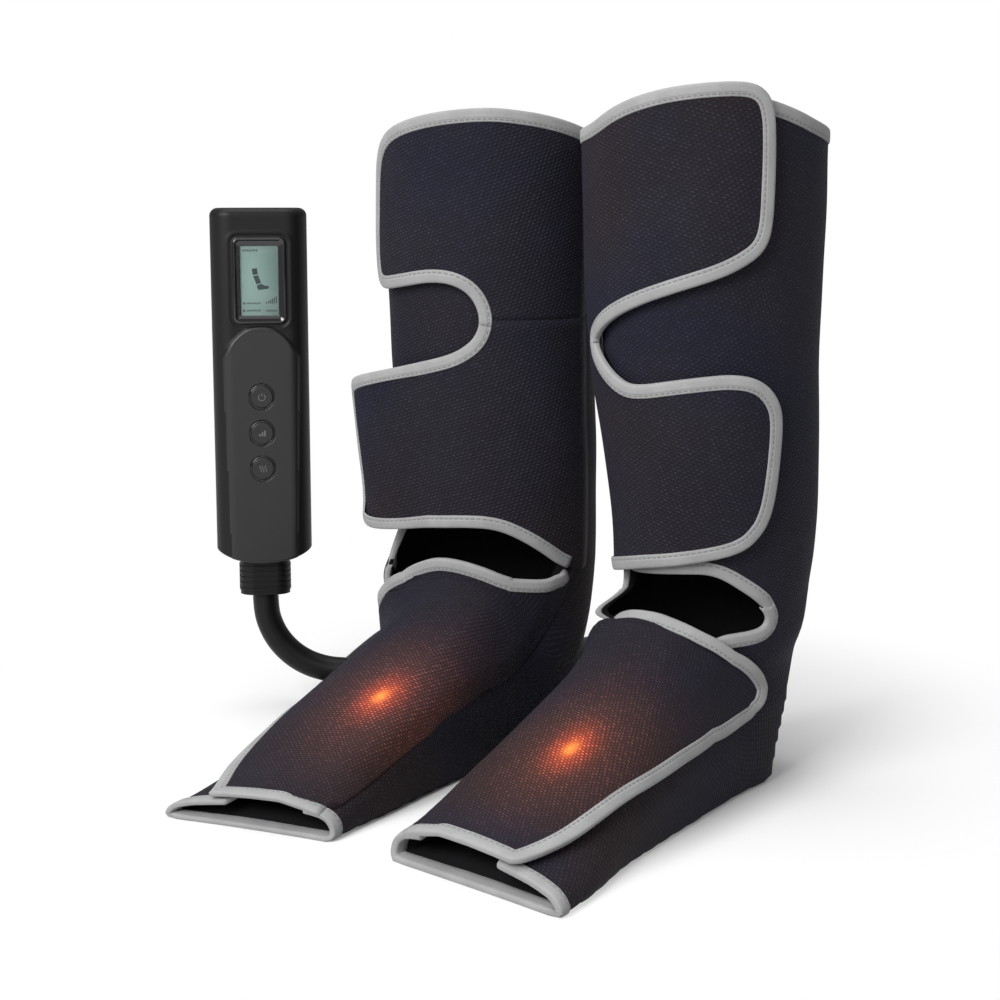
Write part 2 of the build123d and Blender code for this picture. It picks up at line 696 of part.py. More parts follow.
with BuildPart() as pump_head:
    with BuildSketch(Plane.XY.offset(motor_z + motor_length + seat_gap)):
        with Locations((-motor_x, head_y)):
            RectangleRounded(head_width, head_depth, 2)
    extrude(amount=head_height)

with BuildPart() as valve_block:
    with BuildSketch(Plane.XY.offset(motor_z)):
        with Locations((valve_x, head_y)):
            RectangleRounded(valve_width, head_depth, 2)
    extrude(amount=valve_height)
    with BuildSketch(Plane(origin=(valve_x, head_y, motor_z + motor_length + head_height / 2), z_dir=(-1, 0, 0))):
        Circle(tube_radius)
    extrude(amount=valve_x + motor_x - head_width / 2 - seat_gap)

with BuildPart() as outlet_socket:
    with BuildSketch(Plane.XY.offset(socket_bottom)):
        Circle(socket_radius + socket_wall)
    extrude(amount=socket_length)
    with BuildSketch(Plane.XY.offset(pump_wall + socket_flange)):
        Circle(socket_radius + socket_wall + 2 * socket_flange)
    extrude(amount=socket_flange)
    with BuildSketch(Plane.XY.offset(socket_bottom)):
        Circle(socket_radius)
    extrude(amount=socket_length - socket_wall, mode=Mode.SUBTRACT)
    with BuildSketch(Plane.XY.offset(socket_bottom)):
        Circle(tube_bore)
    extrude(amount=socket_length, mode=Mode.SUBTRACT)

with BuildPart() as air_tube:
    with BuildLine() as tube_line:
        FilletPolyline(
            (tube_x, tube_y, motor_z - seat_gap),
            (tube_x, tube_y, tube_turn_z),
            (0, 0, tube_turn_z - tube_drop),
            (0, 0, socket_bottom + socket_length + seat_gap),
            radius=tube_bend,
        )
    with BuildSketch(Plane(origin=(tube_x, tube_y, motor_z - seat_gap), z_dir=(0, 0, -1))):
        Circle(tube_radius)
    sweep(path=tube_line.line)

with BuildPart() as charge_port:
    with BuildSketch(Plane.XY.offset(board_z + board_height - port_overlap)):
        with Locations((0, -port_y)):
            RectangleRounded(port_width, port_depth, port_depth / 2 - 0.1)
    extrude(amount=pump_height - seat_gap - board_z - board_height + port_overlap)
    with BuildSketch(Plane.XY.offset(pump_height - port_bore)):
        with Locations((0, -port_y)):
            RectangleRounded(port_width - 2 * port_wall, port_depth - 2 * port_wall, port_depth / 2 - port_wall - 0.1)
    extrude(amount=port_bore, mode=Mode.SUBTRACT)

pump = {
    "front_housing": front_housing.part,
    "rear_housing": rear_housing.part,
    "display_bezel": display_bezel.part,
    "display_window": display_window.part,
    "display_panel": display_panel.part,
    "circuit_board": circuit_board.part,
    "tact_switches": tact_switches.part,
    "battery_cells": battery_cells.part,
    "pump_motor": pump_motor.part,
    "pump_head": pump_head.part,
    "valve_block": valve_block.part,
    "air_tube": air_tube.part,
    "outlet_socket": outlet_socket.part,
    "charge_port": charge_port.part,
    "case_screws": case_screws.part,
    **buttons,
}

# plug under the pump, on the end of the main hose
plug_top = -2 * fit_gap
with BuildPart() as hose_plug:
    with BuildSketch(Plane.XY.offset(plug_top - plug_height)):
        RectangleRounded(plug_width, plug_depth, plug_corner)
    extrude(amount=plug_height)
    rib_pitch = plug_height / (plug_ribs + 1)
    for rib in range(plug_ribs):
        with BuildSketch(Plane.XY.offset(plug_top - plug_height + rib_pitch * (rib + 0.75))):
            RectangleRounded(plug_width + 2 * plug_rib, plug_depth + 2 * plug_rib, plug_corner + plug_rib)
        extrude(amount=rib_pitch / 2)
    with BuildSketch(Plane.XY.offset(plug_top)):
        Circle(spigot_radius)
    extrude(amount=spigot_length)
    with BuildSketch(Plane.XY.offset(plug_top - plug_height / 2)):
        Circle(spigot_bore)
    extrude(amount=plug_height / 2 + spigot_length, mode=Mode.SUBTRACT)
    with BuildSketch(Plane.XY.offset(seal_z - seat_gap)):
        Circle(spigot_radius + 1)
        Circle(seal_inner - seat_gap / 2, mode=Mode.SUBTRACT)
    extrude(amount=seal_height + 2 * seat_gap, mode=Mode.SUBTRACT)

with BuildPart() as plug_seal:
    with BuildSketch(Plane.XY.offset(seal_z)):
        Circle(socket_radius - fit_gap / 2)
        Circle(seal_inner, mode=Mode.SUBTRACT)
    extrude(amount=seal_height)
plug = {"hose_plug": hose_plug.part, "plug_seal": plug_seal.part}

# ---------------------------------------------------------------- hoses, as they lie
run = Vector(cos(radians(tee_turn)), sin(radians(tee_turn)), 0)
across = Vector(-sin(radians(tee_turn)), cos(radians(tee_turn)), 0)
tee_centre = Vector(tee_x, tee_y, tee_z)
way_in = Vector(sin(radians(inlet_turn)), -cos(radians(inlet_turn)), 0)
mouths = [Vector(side * boot_spacing / 2 - inlet_x, -inlet_y, inlet_z) for side in (-1, 1)]
plug_foot = Vector(pump_x, pump_y, pump_z + plug_top - plug_height)
lie = branch_radius + seat_gap

main_route = [
    plug_foot,
    plug_foot - Vector(0, 0, 11.5),
    Vector(-256, -31.5, 60),
    Vector(-251.1, -28.1, 48),
    Vector(-243.4, -22.5, 37.5),
    Vector(-233.6, -15.5, 29.8),
    Vector(-221.4, -6.8, 25.3),
    Vector(-209.2, 1.9, 24.7),
    Vector(-186.4, 21.1, 19),
    Vector(-164.5, 47.5, 12.5),
    Vector(-152, 82, 9.8),
    Vector(-148, 117, 9.8),
    tee_centre - run * (tee_stem + 26),
    tee_centre - run * tee_stem,
]
right_route = [
    tee_centre + across * tee_half,
    tee_centre + across * (tee_half + 26),
    Vector(-214, 223.5, 7.4),
    Vector(-254, 233, lie),
    Vector(-284.3, 227, lie),
    Vector(-305.4, 203.7, lie),
    Vector(-310.9, 172.6, lie),
    Vector(-290.7, 122, lie),
    Vector(-265.5, 65.6, lie),
    Vector(-239.5, 13.3, lie),
    Vector(-213, -29.6, lie + 0.4),
    Vector(-191.5, -59, 8.6),
    mouths[0] - way_in * 30,
    mouths[0],
]
left_route = [
    tee_centre - across * tee_half,
    tee_centre - across * (tee_half + 26),
    Vector(-44, 170, 7.4),
    Vector(-16, 142, lie),
    Vector(-2, 104, lie),
    Vector(-4, 62, lie),
    Vector(-11, 20, lie),
    Vector(-14, -22, lie + 0.4),
    Vector(-13, -54, 8.6),
    mouths[1] - way_in * 30,
    mouths[1],
]


def hose(name, route, radius):
    """A tube of straight runs joined by arcs as large as the runs allow."""
    radii = []
    for before, here, after in zip(route, route[1:], route[2:]):
        turn = radians((here - before).get_angle(after - here))
        radii.append(0.45 * min((here - before).length, (after - here).length) / tan(turn / 2))
    with BuildPart() as tube:
        with BuildLine() as line:
            FilletPolyline(*route, radius=radii)
        with BuildSketch(Plane(origin=route[0], z_dir=route[1] - route[0])):
            Circle(radius)
        sweep(path=line.line)
    length = sum(edge.length for edge in line.edges())
    print(name, "length", round(length, 1), "radii", [round(value) for value in radii])
    print("  volume", round(tube.part.volume), "section times length", round(pi * radius**2 * length))
    return tube.part


def cuff_at(mouth, way):
    with BuildPart() as cuff:
        with BuildSketch(Plane(origin=mouth - way * seat_gap, z_dir=-way)):
            Circle(branch_radius + cuff_wall)
            Circle(branch_radius + seat_gap, mode=Mode.SUBTRACT)
        extrude(amount=cuff_length)
    return cuff.part


with BuildPart() as hose_splitter:
    with BuildSketch(Plane(origin=tee_centre - across * (tee_half - seat_gap), z_dir=across)):
        Circle(tee_radius)
    extrude(amount=2 * (tee_half - seat_gap))
    with BuildSketch(Plane(origin=tee_centre, z_dir=-run)):
        Circle(tee_stem_radius)
    extrude(amount=tee_stem - seat_gap)

cords = {
    "main_hose": hose("main_hose", main_route, main_radius),
    "right_branch_hose": hose("right_branch_hose", right_route, branch_radius),
    "left_branch_hose": hose("left_branch_hose", left_route, branch_radius),
    "hose_splitter": hose_splitter.part,
    "right_cuff": cuff_at(mouths[0], way_in),
    "left_cuff": cuff_at(mouths[1], way_in),
}

# ---------------------------------------------------------------- the set, put together
pump_place = Location((pump_x, pump_y, pump_z), (0, 0, pump_turn))
own, laid = {}, {}
for name, piece in boot.items():
    own["left_" + name] = Location((boot_spacing / 2, 0, 0)) * piece
    own["right_" + name] = Location((-boot_spacing / 2, 0, 0)) * mirror(piece, about=Plane.YZ)
for name, piece in pump.items():
    own[name] = pump_place * piece
for name, piece in plug.items():
    laid[name] = pump_place * piece
own["left_hose_inlet"] = Location((boot_spacing / 2, 0, 0)) * hose_inlet.part
own["right_hose_inlet"] = Location((-boot_spacing / 2, 0, 0)) * hose_inlet.part
laid.update(cords)

boxes = [piece.bounding_box() for piece in own.values()]
centre_x = (min(box.min.X for box in boxes) + max(box.max.X for box in boxes)) / 2
centre_y = (min(box.min.Y for box in boxes) + max(box.max.Y for box in boxes)) / 2
to_origin = Location((-centre_x, -centre_y, 0))
print("origin moved by", round(-centre_x, 3), round(-centre_y, 3))

nodes = {}
for name, piece in {**own, **laid}.items():
    nodes[name] = to_origin * piece
    nodes[name].label = name
    export_step(nodes[name], f"parts/{name}.step")
print(len(nodes), "pieces")
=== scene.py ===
from math import cos, pi, radians, sin

import bmesh
import bpy
import numpy as np
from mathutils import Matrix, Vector
from mathutils.geometry import delaunay_2d_cdt


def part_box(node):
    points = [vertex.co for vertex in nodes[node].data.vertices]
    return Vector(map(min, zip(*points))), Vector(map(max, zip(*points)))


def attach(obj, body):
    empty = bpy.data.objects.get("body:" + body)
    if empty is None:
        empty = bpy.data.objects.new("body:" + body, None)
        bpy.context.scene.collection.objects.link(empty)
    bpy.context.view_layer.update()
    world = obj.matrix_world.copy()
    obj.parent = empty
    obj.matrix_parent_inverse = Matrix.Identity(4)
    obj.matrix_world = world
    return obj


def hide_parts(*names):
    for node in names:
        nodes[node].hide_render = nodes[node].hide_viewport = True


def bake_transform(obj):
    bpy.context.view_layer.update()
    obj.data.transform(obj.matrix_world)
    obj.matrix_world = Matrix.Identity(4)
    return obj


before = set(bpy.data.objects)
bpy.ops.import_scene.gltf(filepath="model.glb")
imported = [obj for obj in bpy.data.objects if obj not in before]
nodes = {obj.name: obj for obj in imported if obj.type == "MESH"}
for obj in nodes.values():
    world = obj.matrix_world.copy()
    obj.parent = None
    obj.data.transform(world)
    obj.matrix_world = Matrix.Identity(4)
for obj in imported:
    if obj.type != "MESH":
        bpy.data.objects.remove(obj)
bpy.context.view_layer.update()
print("frame loaded:", len(nodes), "nodes")


toeReach = 0.240  # from the soles' front edges back to the legs' line


# the boots' own centre on the floor
def findCentre():
    leftLow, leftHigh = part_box("left_sole")
    rightLow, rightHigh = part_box("right_sole")
    x = (leftLow[0] + leftHigh[0] + rightLow[0] + rightHigh[0]) / 4
    return Vector((x, leftLow[1] + toeReach, 0))


centre = findCentre()
base = "boots_and_hoses"


# the camera, in metres from the boots' centre
cameraPlace = {
    "location": (0.6617, -1.0262, 0.37335),
    "heading": (-0.5827, 0.8127),
    "pitchDown": 0.165,
    "lens": 68.63,
}


def makeCamera(place):
    data = bpy.data.cameras.new("viewCamera")
    data.lens = place["lens"]
    data.sensor_width = 36
    camera = bpy.data.objects.new("viewCamera", data)
    bpy.context.scene.collection.objects.link(camera)
    camera.location = Vector(place["location"]) + centre
    hx, hy = place["heading"]
    look = Vector((hx * cos(place["pitchDown"]), hy * cos(place["pitchDown"]), -sin(place["pitchDown"])))
    camera.rotation_euler = look.to_track_quat("-Z", "Y").to_euler()
    bpy.context.scene.camera = camera


makeCamera(cameraPlace)
print("camera set")


def unit(v):
    return v / np.linalg.norm(v, axis=-1, keepdims=True)


def runAlong(points):
    return np.concatenate([[0], np.cumsum(np.linalg.norm(np.diff(points, axis=0), axis=1))])


def link(obj):
    bpy.context.scene.collection.objects.link(obj)
    return obj


def meshObject(name, points, faces, materials, uvs=None, faceMaterials=None):
    mesh = bpy.data.meshes.new(name)
    mesh.from_pydata([tuple(p) for p in points], [], faces)
    for material in materials:
        mesh.materials.append(material)
    if faceMaterials is not None:
        mesh.polygons.foreach_set("material_index", np.array(faceMaterials, dtype=np.int32))
    if uvs is not None:
        layer = mesh.uv_layers.new(name="cloth")
        vertexOf = np.zeros(len(mesh.loops), dtype=np.int32)
        mesh.loops.foreach_get("vertex_index", vertexOf)
        layer.data.foreach_set("uv", np.asarray(uvs, dtype=np.float32)[vertexOf].ravel())
    mesh.polygons.foreach_set("use_smooth", np.ones(len(mesh.polygons), dtype=bool))
    mesh.update()
    return link(bpy.data.objects.new(name, mesh))


# a material under construction, with its nodes wired by short calls
class Wiring:
    def __init__(self, name):
        self.material = bpy.data.materials.new(name)
        self.material.use_nodes = True
        self.tree = self.material.node_tree
        self.shader = self.tree.nodes["Principled BSDF"]
        self.out = self.tree.nodes["Material Output"]

    def node(self, kind, **settings):
        made = self.tree.nodes.new(kind)
        for key, value in settings.items():
            setattr(made, key, value)
        return made

    def join(self, source, target):
        self.tree.links.new(source, target)

    def feed(self, slot, value):
        if isinstance(value, (int, float)):
            slot.default_value = value
        elif isinstance(value, tuple):
            slot.default_value = value if len(value) == len(slot.default_value) else (*value, 1)
        else:
            self.join(value, slot)

    def math(self, operation, a, b=None):
        made = self.node("ShaderNodeMath", operation=operation)
        self.feed(made.inputs[0], a)
        if b is not None:
            self.feed(made.inputs[1], b)
        return made.outputs[0]

    def plus(self, a, b):
        return self.math("ADD", a, b)

    def minus(self, a, b):
        return self.math("SUBTRACT", a, b)

    def times(self, a, b):
        return self.math("MULTIPLY", a, b)

    def vector(self, operation, a, b=None, scale=None):
        made = self.node("ShaderNodeVectorMath", operation=operation)
        self.feed(made.inputs[0], a)
        if b is not None:
            self.feed(made.inputs[1], b)
        if scale is not None:
            self.feed(made.inputs["Scale"], scale)
        return made.outputs["Value" if operation in ("DOT_PRODUCT", "LENGTH") else "Vector"]

    def smooth(self, value, low, high, toLow=0.0, toHigh=1.0):
        made = self.node("ShaderNodeMapRange", interpolation_type="SMOOTHSTEP")
        self.join(value, made.inputs["Value"])
        for key, number in (("From Min", low), ("From Max", high), ("To Min", toLow), ("To Max", toHigh)):
            made.inputs[key].default_value = number
        return made.outputs["Result"]

    def noise(self, vector, scale, detail):
        made = self.node("ShaderNodeTexNoise")
        for key, value in (("Vector", vector), ("Scale", scale), ("Detail", detail), ("Roughness", 0.55)):
            self.feed(made.inputs[key], value)
        return made.outputs["Fac"]

    def mix(self, factor, a, b):
        made = self.node("ShaderNodeMix", data_type="RGBA")
        for slot, value in ((made.inputs[0], factor), (made.inputs[6], a), (made.inputs[7], b)):
            self.feed(slot, value)
        return made.outputs[2]

    def mixShaders(self, factor, first, second):
        both = self.node("ShaderNodeMixShader")
        for slot, source in zip(both.inputs, (factor, first, second)):
            self.join(source, slot)
        self.join(both.outputs[0], self.out.inputs["Surface"])

    def bump(self, height, strength, distance):
        made = self.node("ShaderNodeBump")
        made.inputs["Strength"].default_value = strength
        made.inputs["Distance"].default_value = distance
        self.join(height, made.inputs["Height"])
        self.join(made.outputs["Normal"], self.shader.inputs["Normal"])

    def place(self):
        return self.node("ShaderNodeTexCoord").outputs["Object"]

    def cloth(self):  # mm round the boot and down it, or along a tape and across it
        parts = self.node("ShaderNodeSeparateXYZ")
        self.join(self.node("ShaderNodeUVMap", uv_map="cloth").outputs["UV"], parts.inputs[0])
        return parts.outputs["X"], parts.outputs["Y"]

    def set(self, **values):
        for key, value in values.items():
            self.feed(self.shader.inputs[key.replace("_", " ")], value)


meshFabric = {
    "thread": (0.0150, 0.0128, 0.0200),
    "threadAlt": (0.0100, 0.0106, 0.0225),
    "threadWarm": (0.0230, 0.0128, 0.0120),
    "pitch": (3.1, 2.15),  # mm along and across the rows of loops
    "lean": (0.30, 0.34),  # how far askew the loops and their rows run
    "sway": 2.4,  # mm that the rows wander
    "loop": (0.10, 0.36),  # from a loop's bright middle to its rim
    "tone": {"ground": 0.42, "fine": 0.45, "loop": 1.25, "worn": 0.20},
    "bump": (0.8, 0.0007),
    "roughness": 0.8,
    "sheen": 0.03,
    "gloss": 0.22,
}
# painted glow on the instep, over the heater: colour and size in metres of each ring of painted glow, from
# the middle out
paintedGlowSpot = {
    "core": ((1.0, 0.30, 0.030), 0.0036),
    "glowRing": ((0.78, 0.085, 0.022), 0.0105),
    "haze": ((0.115, 0.036, 0.019), 0.034),
    "stretch": 0.62,
    "weave": (0.42, 1.7),  # how much shows between the loops, and on them
}


def addPaintedGlow(w, place, lit, spot, along):
    offset = w.vector("SUBTRACT", place, tuple(spot))
    run = w.vector("DOT_PRODUCT", offset, tuple(along))
    square = w.vector("DOT_PRODUCT", offset, offset)
    reachSquare = w.minus(square, w.times(w.times(run, run), paintedGlowSpot["stretch"]))
    between, onLoop = paintedGlowSpot["weave"]
    weave = w.plus(between, w.times(lit, onLoop))
    # painted glow: the cloth itself emits these rings of orange light, more on the loops than between them
    total = None
    for part in ("core", "glowRing", "haze"):
        colour, size = paintedGlowSpot[part]
        fall = w.math("POWER", 2.718, w.times(w.math("DIVIDE", reachSquare, size * size), -1))
        glow = w.vector("SCALE", colour, scale=fall if part == "core" else w.times(fall, weave))
        total = glow if total is None else w.vector("ADD", total, glow)
    w.set(Emission_Color=total, Emission_Strength=1.0)


def makeMeshFabric(name, size=1.0, spot=None, along=None):
    w = Wiring(name)
    u, v = w.cloth()
    place = w.place()
    (pitchAlong, pitchDown), (leanAcross, leanDown) = meshFabric["pitch"], meshFabric["lean"]
    sway = w.times(w.noise(place, 14.0, 1.0), meshFabric["sway"])
    lean = w.plus(w.plus(u, sway), w.times(v, leanAcross))
    down = w.math("DIVIDE", w.minus(v, w.times(u, leanDown)), pitchDown * size)
    row = w.math("FLOOR", down)
    across = w.plus(w.math("DIVIDE", lean, pitchAlong * size), w.times(row, 0.5))
    cellA = w.minus(w.math("FRACT", across), 0.5)
    cellB = w.minus(w.math("FRACT", down), 0.5)
    distance = w.math("SQRT", w.plus(w.times(w.times(cellA, cellA), 0.55), w.times(cellB, cellB)))
    loop = w.smooth(distance, *meshFabric["loop"], 1.0, 0.0)
    # each loop catches the light by its own amount
    cell = w.node("ShaderNodeCombineXYZ")
    w.join(w.math("FLOOR", across), cell.inputs[0])
    w.join(row, cell.inputs[1])
    chance = w.node("ShaderNodeTexWhiteNoise", noise_dimensions="2D")
    w.join(cell.outputs[0], chance.inputs["Vector"])
    lit = w.times(loop, w.plus(0.45, w.math("POWER", chance.outputs["Value"], 2.2)))
    broad = w.smooth(w.noise(place, 9.0, 2.0), 0.38, 0.66)
    warm = w.smooth(w.noise(place, 5.5, 1.0), 0.48, 0.70)
    worn = w.smooth(w.noise(place, 30.0, 4.0), 0.35, 0.8)
    fine = w.noise(place, 1100.0, 2.0)
    thread = w.mix(broad, meshFabric["thread"], meshFabric["threadAlt"])
    thread = w.mix(w.times(warm, 0.75), thread, meshFabric["threadWarm"])
    tone = meshFabric["tone"]
    lighter = w.plus(tone["ground"], w.plus(w.times(fine, tone["fine"]), w.times(lit, tone["loop"])))
    lighter = w.plus(lighter, w.times(worn, tone["worn"]))
    rough = meshFabric["roughness"]
    w.bump(w.plus(loop, w.times(fine, 0.3)), *meshFabric["bump"])
    w.set(Base_Color=w.vector("SCALE", thread, scale=lighter),
          Roughness=w.smooth(fine, 0.2, 0.8, rough - 0.08, rough + 0.08), Sheen_Weight=meshFabric["sheen"],
          Sheen_Roughness=0.45, Sheen_Tint=(0.5, 0.5, 0.75, 1), Specular_IOR_Level=meshFabric["gloss"])
    if spot is not None:
        addPaintedGlow(w, place, lit, spot, along)
    return w.material


bindingTape = {
    "colour": (0.350, 0.351, 0.353),
    "dark": (0.305, 0.306, 0.308),
    "stitch": (0.17, 0.17, 0.175),
    "stitchLength": 3.6,
    "stitchAt": 2.6,  # mm from the tape's inner edge
    "bump": (0.7, 0.0004),
}


def makeBindingTape():
    w = Wiring("bindingTape")
    u, v = w.cloth()
    rows = w.math("SINE", w.times(w.plus(u, w.times(v, 0.6)), 7.0))
    place = w.place()
    fine = w.noise(place, 1400.0, 2.0)
    broad = w.noise(place, 60.0, 2.0)
    step = w.math("FRACT", w.math("DIVIDE", u, bindingTape["stitchLength"]))
    thread = w.times(w.smooth(step, 0.10, 0.20), w.smooth(step, 0.72, 0.82, 1.0, 0.0))
    fromLine = w.math("ABSOLUTE", w.minus(v, bindingTape["stitchAt"]))
    stitch = w.times(thread, w.smooth(fromLine, 0.30, 0.55, 1.0, 0.0))
    near = w.smooth(fromLine, 0.5, 1.5, 1.0, 0.0)
    cloth = w.mix(w.smooth(broad, 0.3, 0.75), bindingTape["dark"], bindingTape["colour"])
    shade = w.vector("SCALE", cloth, scale=w.plus(0.84, w.plus(w.times(fine, 0.3), w.times(rows, 0.04))))
    sewn = w.mix(w.times(stitch, 0.75), shade, bindingTape["stitch"])
    height = w.plus(w.times(fine, 0.5), w.times(rows, 0.15))
    height = w.minus(w.plus(height, w.times(stitch, 0.8)), w.times(near, 1.1))
    w.bump(height, *bindingTape["bump"])
    w.set(Base_Color=sewn, Roughness=0.72, Sheen_Weight=0.2, Specular_IOR_Level=0.35)
    return w.material


# colour, roughness, grain per metre, how much the grain lightens and darkens, depth of its bump in metres
def makePlain(name, colour, roughness, scale, amount, bumpBy, metallic=0.0, coat=0.0, level=0.5):
    w = Wiring(name)
    place = w.place()
    grain = w.noise(place, scale, 3.0)
    cloud = w.noise(place, scale * 0.05, 2.0)
    dark = tuple(c * (1 - amount) for c in colour)
    light = tuple(min(1.0, c * (1 + amount)) for c in colour)
    low, high = max(0.02, roughness - 0.07), min(1.0, roughness + 0.07)
    w.bump(grain, 0.5, bumpBy)
    w.set(Base_Color=w.mix(w.times(w.plus(grain, cloud), 0.5), dark, light),
          Roughness=w.smooth(grain, 0.2, 0.8, low, high), Metallic=metallic, Coat_Weight=coat,
          Specular_IOR_Level=level)
    return w.material


def makeWindowGlass():
    w = Wiring("windowGlass")
    gloss = w.node("ShaderNodeBsdfGlossy")
    gloss.inputs["Roughness"].default_value = 0.04
    edge = w.node("ShaderNodeFresnel")
    edge.inputs["IOR"].default_value = 1.45
    w.mixShaders(edge.outputs[0], w.node("ShaderNodeBsdfTransparent").outputs[0], gloss.outputs[0])
    return w.material


lining = makePlain("liningFabric", (0.006, 0.006, 0.007), 0.9, 900.0, 0.4, 0.0004, level=0.15)
binding = makeBindingTape()
casePlastic = makePlain("casePlastic", (0.0060, 0.0058, 0.0058), 0.46, 1800.0, 0.10, 0.00006, level=0.25)
# painted highlight: the raised face panel is a lighter copy of the case plastic, standing in for the
# highlight on the pump's front
highlitPanelPlastic = makePlain("highlitPanelPlastic", (0.0125, 0.0120, 0.0120), 0.38, 1800.0, 0.08, 0.00004)
buttonPlastic = makePlain("buttonPlastic", (0.0105, 0.0105, 0.0110), 0.34, 1800.0, 0.08, 0.00003)
glossPlastic = makePlain("glossPlastic", (0.006, 0.006, 0.0065), 0.12, 600.0, 0.05, 0.00001, coat=0.6)
hoseRubber = makePlain("hoseRubber", (0.0040, 0.0036, 0.0038), 0.44, 700.0, 0.15, 0.00008, level=0.24)
moulding = makePlain("mouldedPlastic", (0.020, 0.020, 0.022), 0.4, 900.0, 0.1, 0.00006)
bladderFilm = makePlain("bladderFilm", (0.30, 0.31, 0.33), 0.35, 500.0, 0.1, 0.0003)
padFilm = makePlain("padFilm", (0.42, 0.19, 0.06), 0.3, 500.0, 0.1, 0.0001)
hookTape = makePlain("hookTape", (0.012, 0.012, 0.014), 0.6, 1600.0, 0.5, 0.0006)
loopTape = makePlain("loopTape", (0.016, 0.016, 0.020), 0.95, 1200.0, 0.5, 0.0008, level=0.2)
soleSheet = makePlain("soleSheet", (0.0065, 0.0065, 0.0085), 0.8, 700.0, 0.25, 0.0004, level=0.2)
boardResin = makePlain("boardResin", (0.03, 0.14, 0.06), 0.4, 300.0, 0.2, 0.00005)
steel = makePlain("plainSteel", (0.55, 0.55, 0.55), 0.3, 500.0, 0.06, 0.00002, metallic=1.0)
cellWrap = makePlain("cellWrap", (0.08, 0.16, 0.36), 0.35, 400.0, 0.08, 0.00003)
softTube = makePlain("softTube", (0.5, 0.5, 0.47), 0.4, 400.0, 0.06, 0.00005)
displayInk = makePlain("displayInk", (0.045, 0.085, 0.090), 0.6, 800.0, 0.05, 0.00001)
buttonInk = makePlain("buttonInk", (0.13, 0.13, 0.13), 0.5, 800.0, 0.05, 0.00001)
windowGlass = makeWindowGlass()
displayPlate = makePlain("displayPlate", (0.405, 0.60, 0.55), 0.5, 800.0, 0.03, 0.00001)
print("materials made")


# routes in mm from the boots' centre; lengths and diameters in metres
hoses = {
    "mainHose": {
        "node": "main_hose", "diameter": 0.0185, "length": 0.294, "exitAt": 0, "farEnd": "plug",
        "joins": ["hose_plug", "plug_seal", "hose_splitter"],
        "route": [
            (-258.0, -33.0, 83.4), (-258.0, -33.0, 71.9), (-256, -31.5, 60), (-251.1, -28.1, 48),
            (-243.4, -22.5, 37.5), (-233.6, -15.5, 29.8), (-221.4, -6.8, 25.3), (-209.2, 1.9, 24.7),
            (-186.4, 21.1, 19), (-164.5, 47.5, 12.5), (-152, 82, 9.8), (-148, 117, 9.8),
            (-142.8, 151.9, 11.3), (-135.6, 176.9, 11.3),
        ],
    },
    "rightBranchHose": {
        "node": "right_branch_hose", "diameter": 0.012, "length": 0.517, "exitAt": -1, "farEnd": "fitting",
        "joins": ["right_cuff"],
        "route": [
            (-154.0, 207.2, 11.3), (-179.0, 214.3, 11.3), (-214, 223.5, 7.4), (-254, 233, 6.1),
            (-284.3, 227, 6.1), (-305.4, 203.7, 6.1), (-310.9, 172.6, 6.1), (-290.7, 122, 6.1),
            (-265.5, 65.6, 6.1), (-239.5, 13.3, 6.1), (-213, -29.6, 6.5), (-191.5, -59, 8.6),
            (-170.8, -82.4, 12), (-150, -104, 12),
        ],
    },
    "leftBranchHose": {
        "node": "left_branch_hose", "diameter": 0.012, "length": 0.360, "exitAt": -1, "farEnd": "fitting",
        "joins": ["left_cuff"],
        "route": [
            (-104.0, 192.8, 11.3), (-79.0, 185.7, 11.3), (-44, 170, 7.4), (-16, 142, 6.1),
            (-2, 104, 6.1), (-4, 62, 6.1), (-11, 20, 6.1), (-14, -22, 6.5), (-13, -54, 8.6),
            (-7.3, -82.4, 12), (13.5, -104, 12),
        ],
    },
}


def placeOf(point):
    return (point[0] / 1000 + centre.x, point[1] / 1000 + centre.y, point[2] / 1000)


def makeHose(name, route, diameter):
    curve = bpy.data.curves.new(name, "CURVE")
    curve.dimensions = "3D"
    curve.bevel_depth = diameter / 2
    curve.bevel_resolution = 8
    curve.resolution_u = 10
    curve.use_fill_caps = True
    spline = curve.splines.new("NURBS")
    spline.points.add(len(route) - 1)
    for point, at in zip(spline.points, route):
        point.co = (*placeOf(at), 1)
    spline.order_u = 3
    spline.use_endpoint_u = True
    curve.materials.append(hoseRubber)
    return link(bpy.data.objects.new(name, curve))


for name, hose in hoses.items():
    piece = makeHose(name, hose["route"], hose["diameter"])
    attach(piece, base)
    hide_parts(hose["node"])
print("hoses laid")


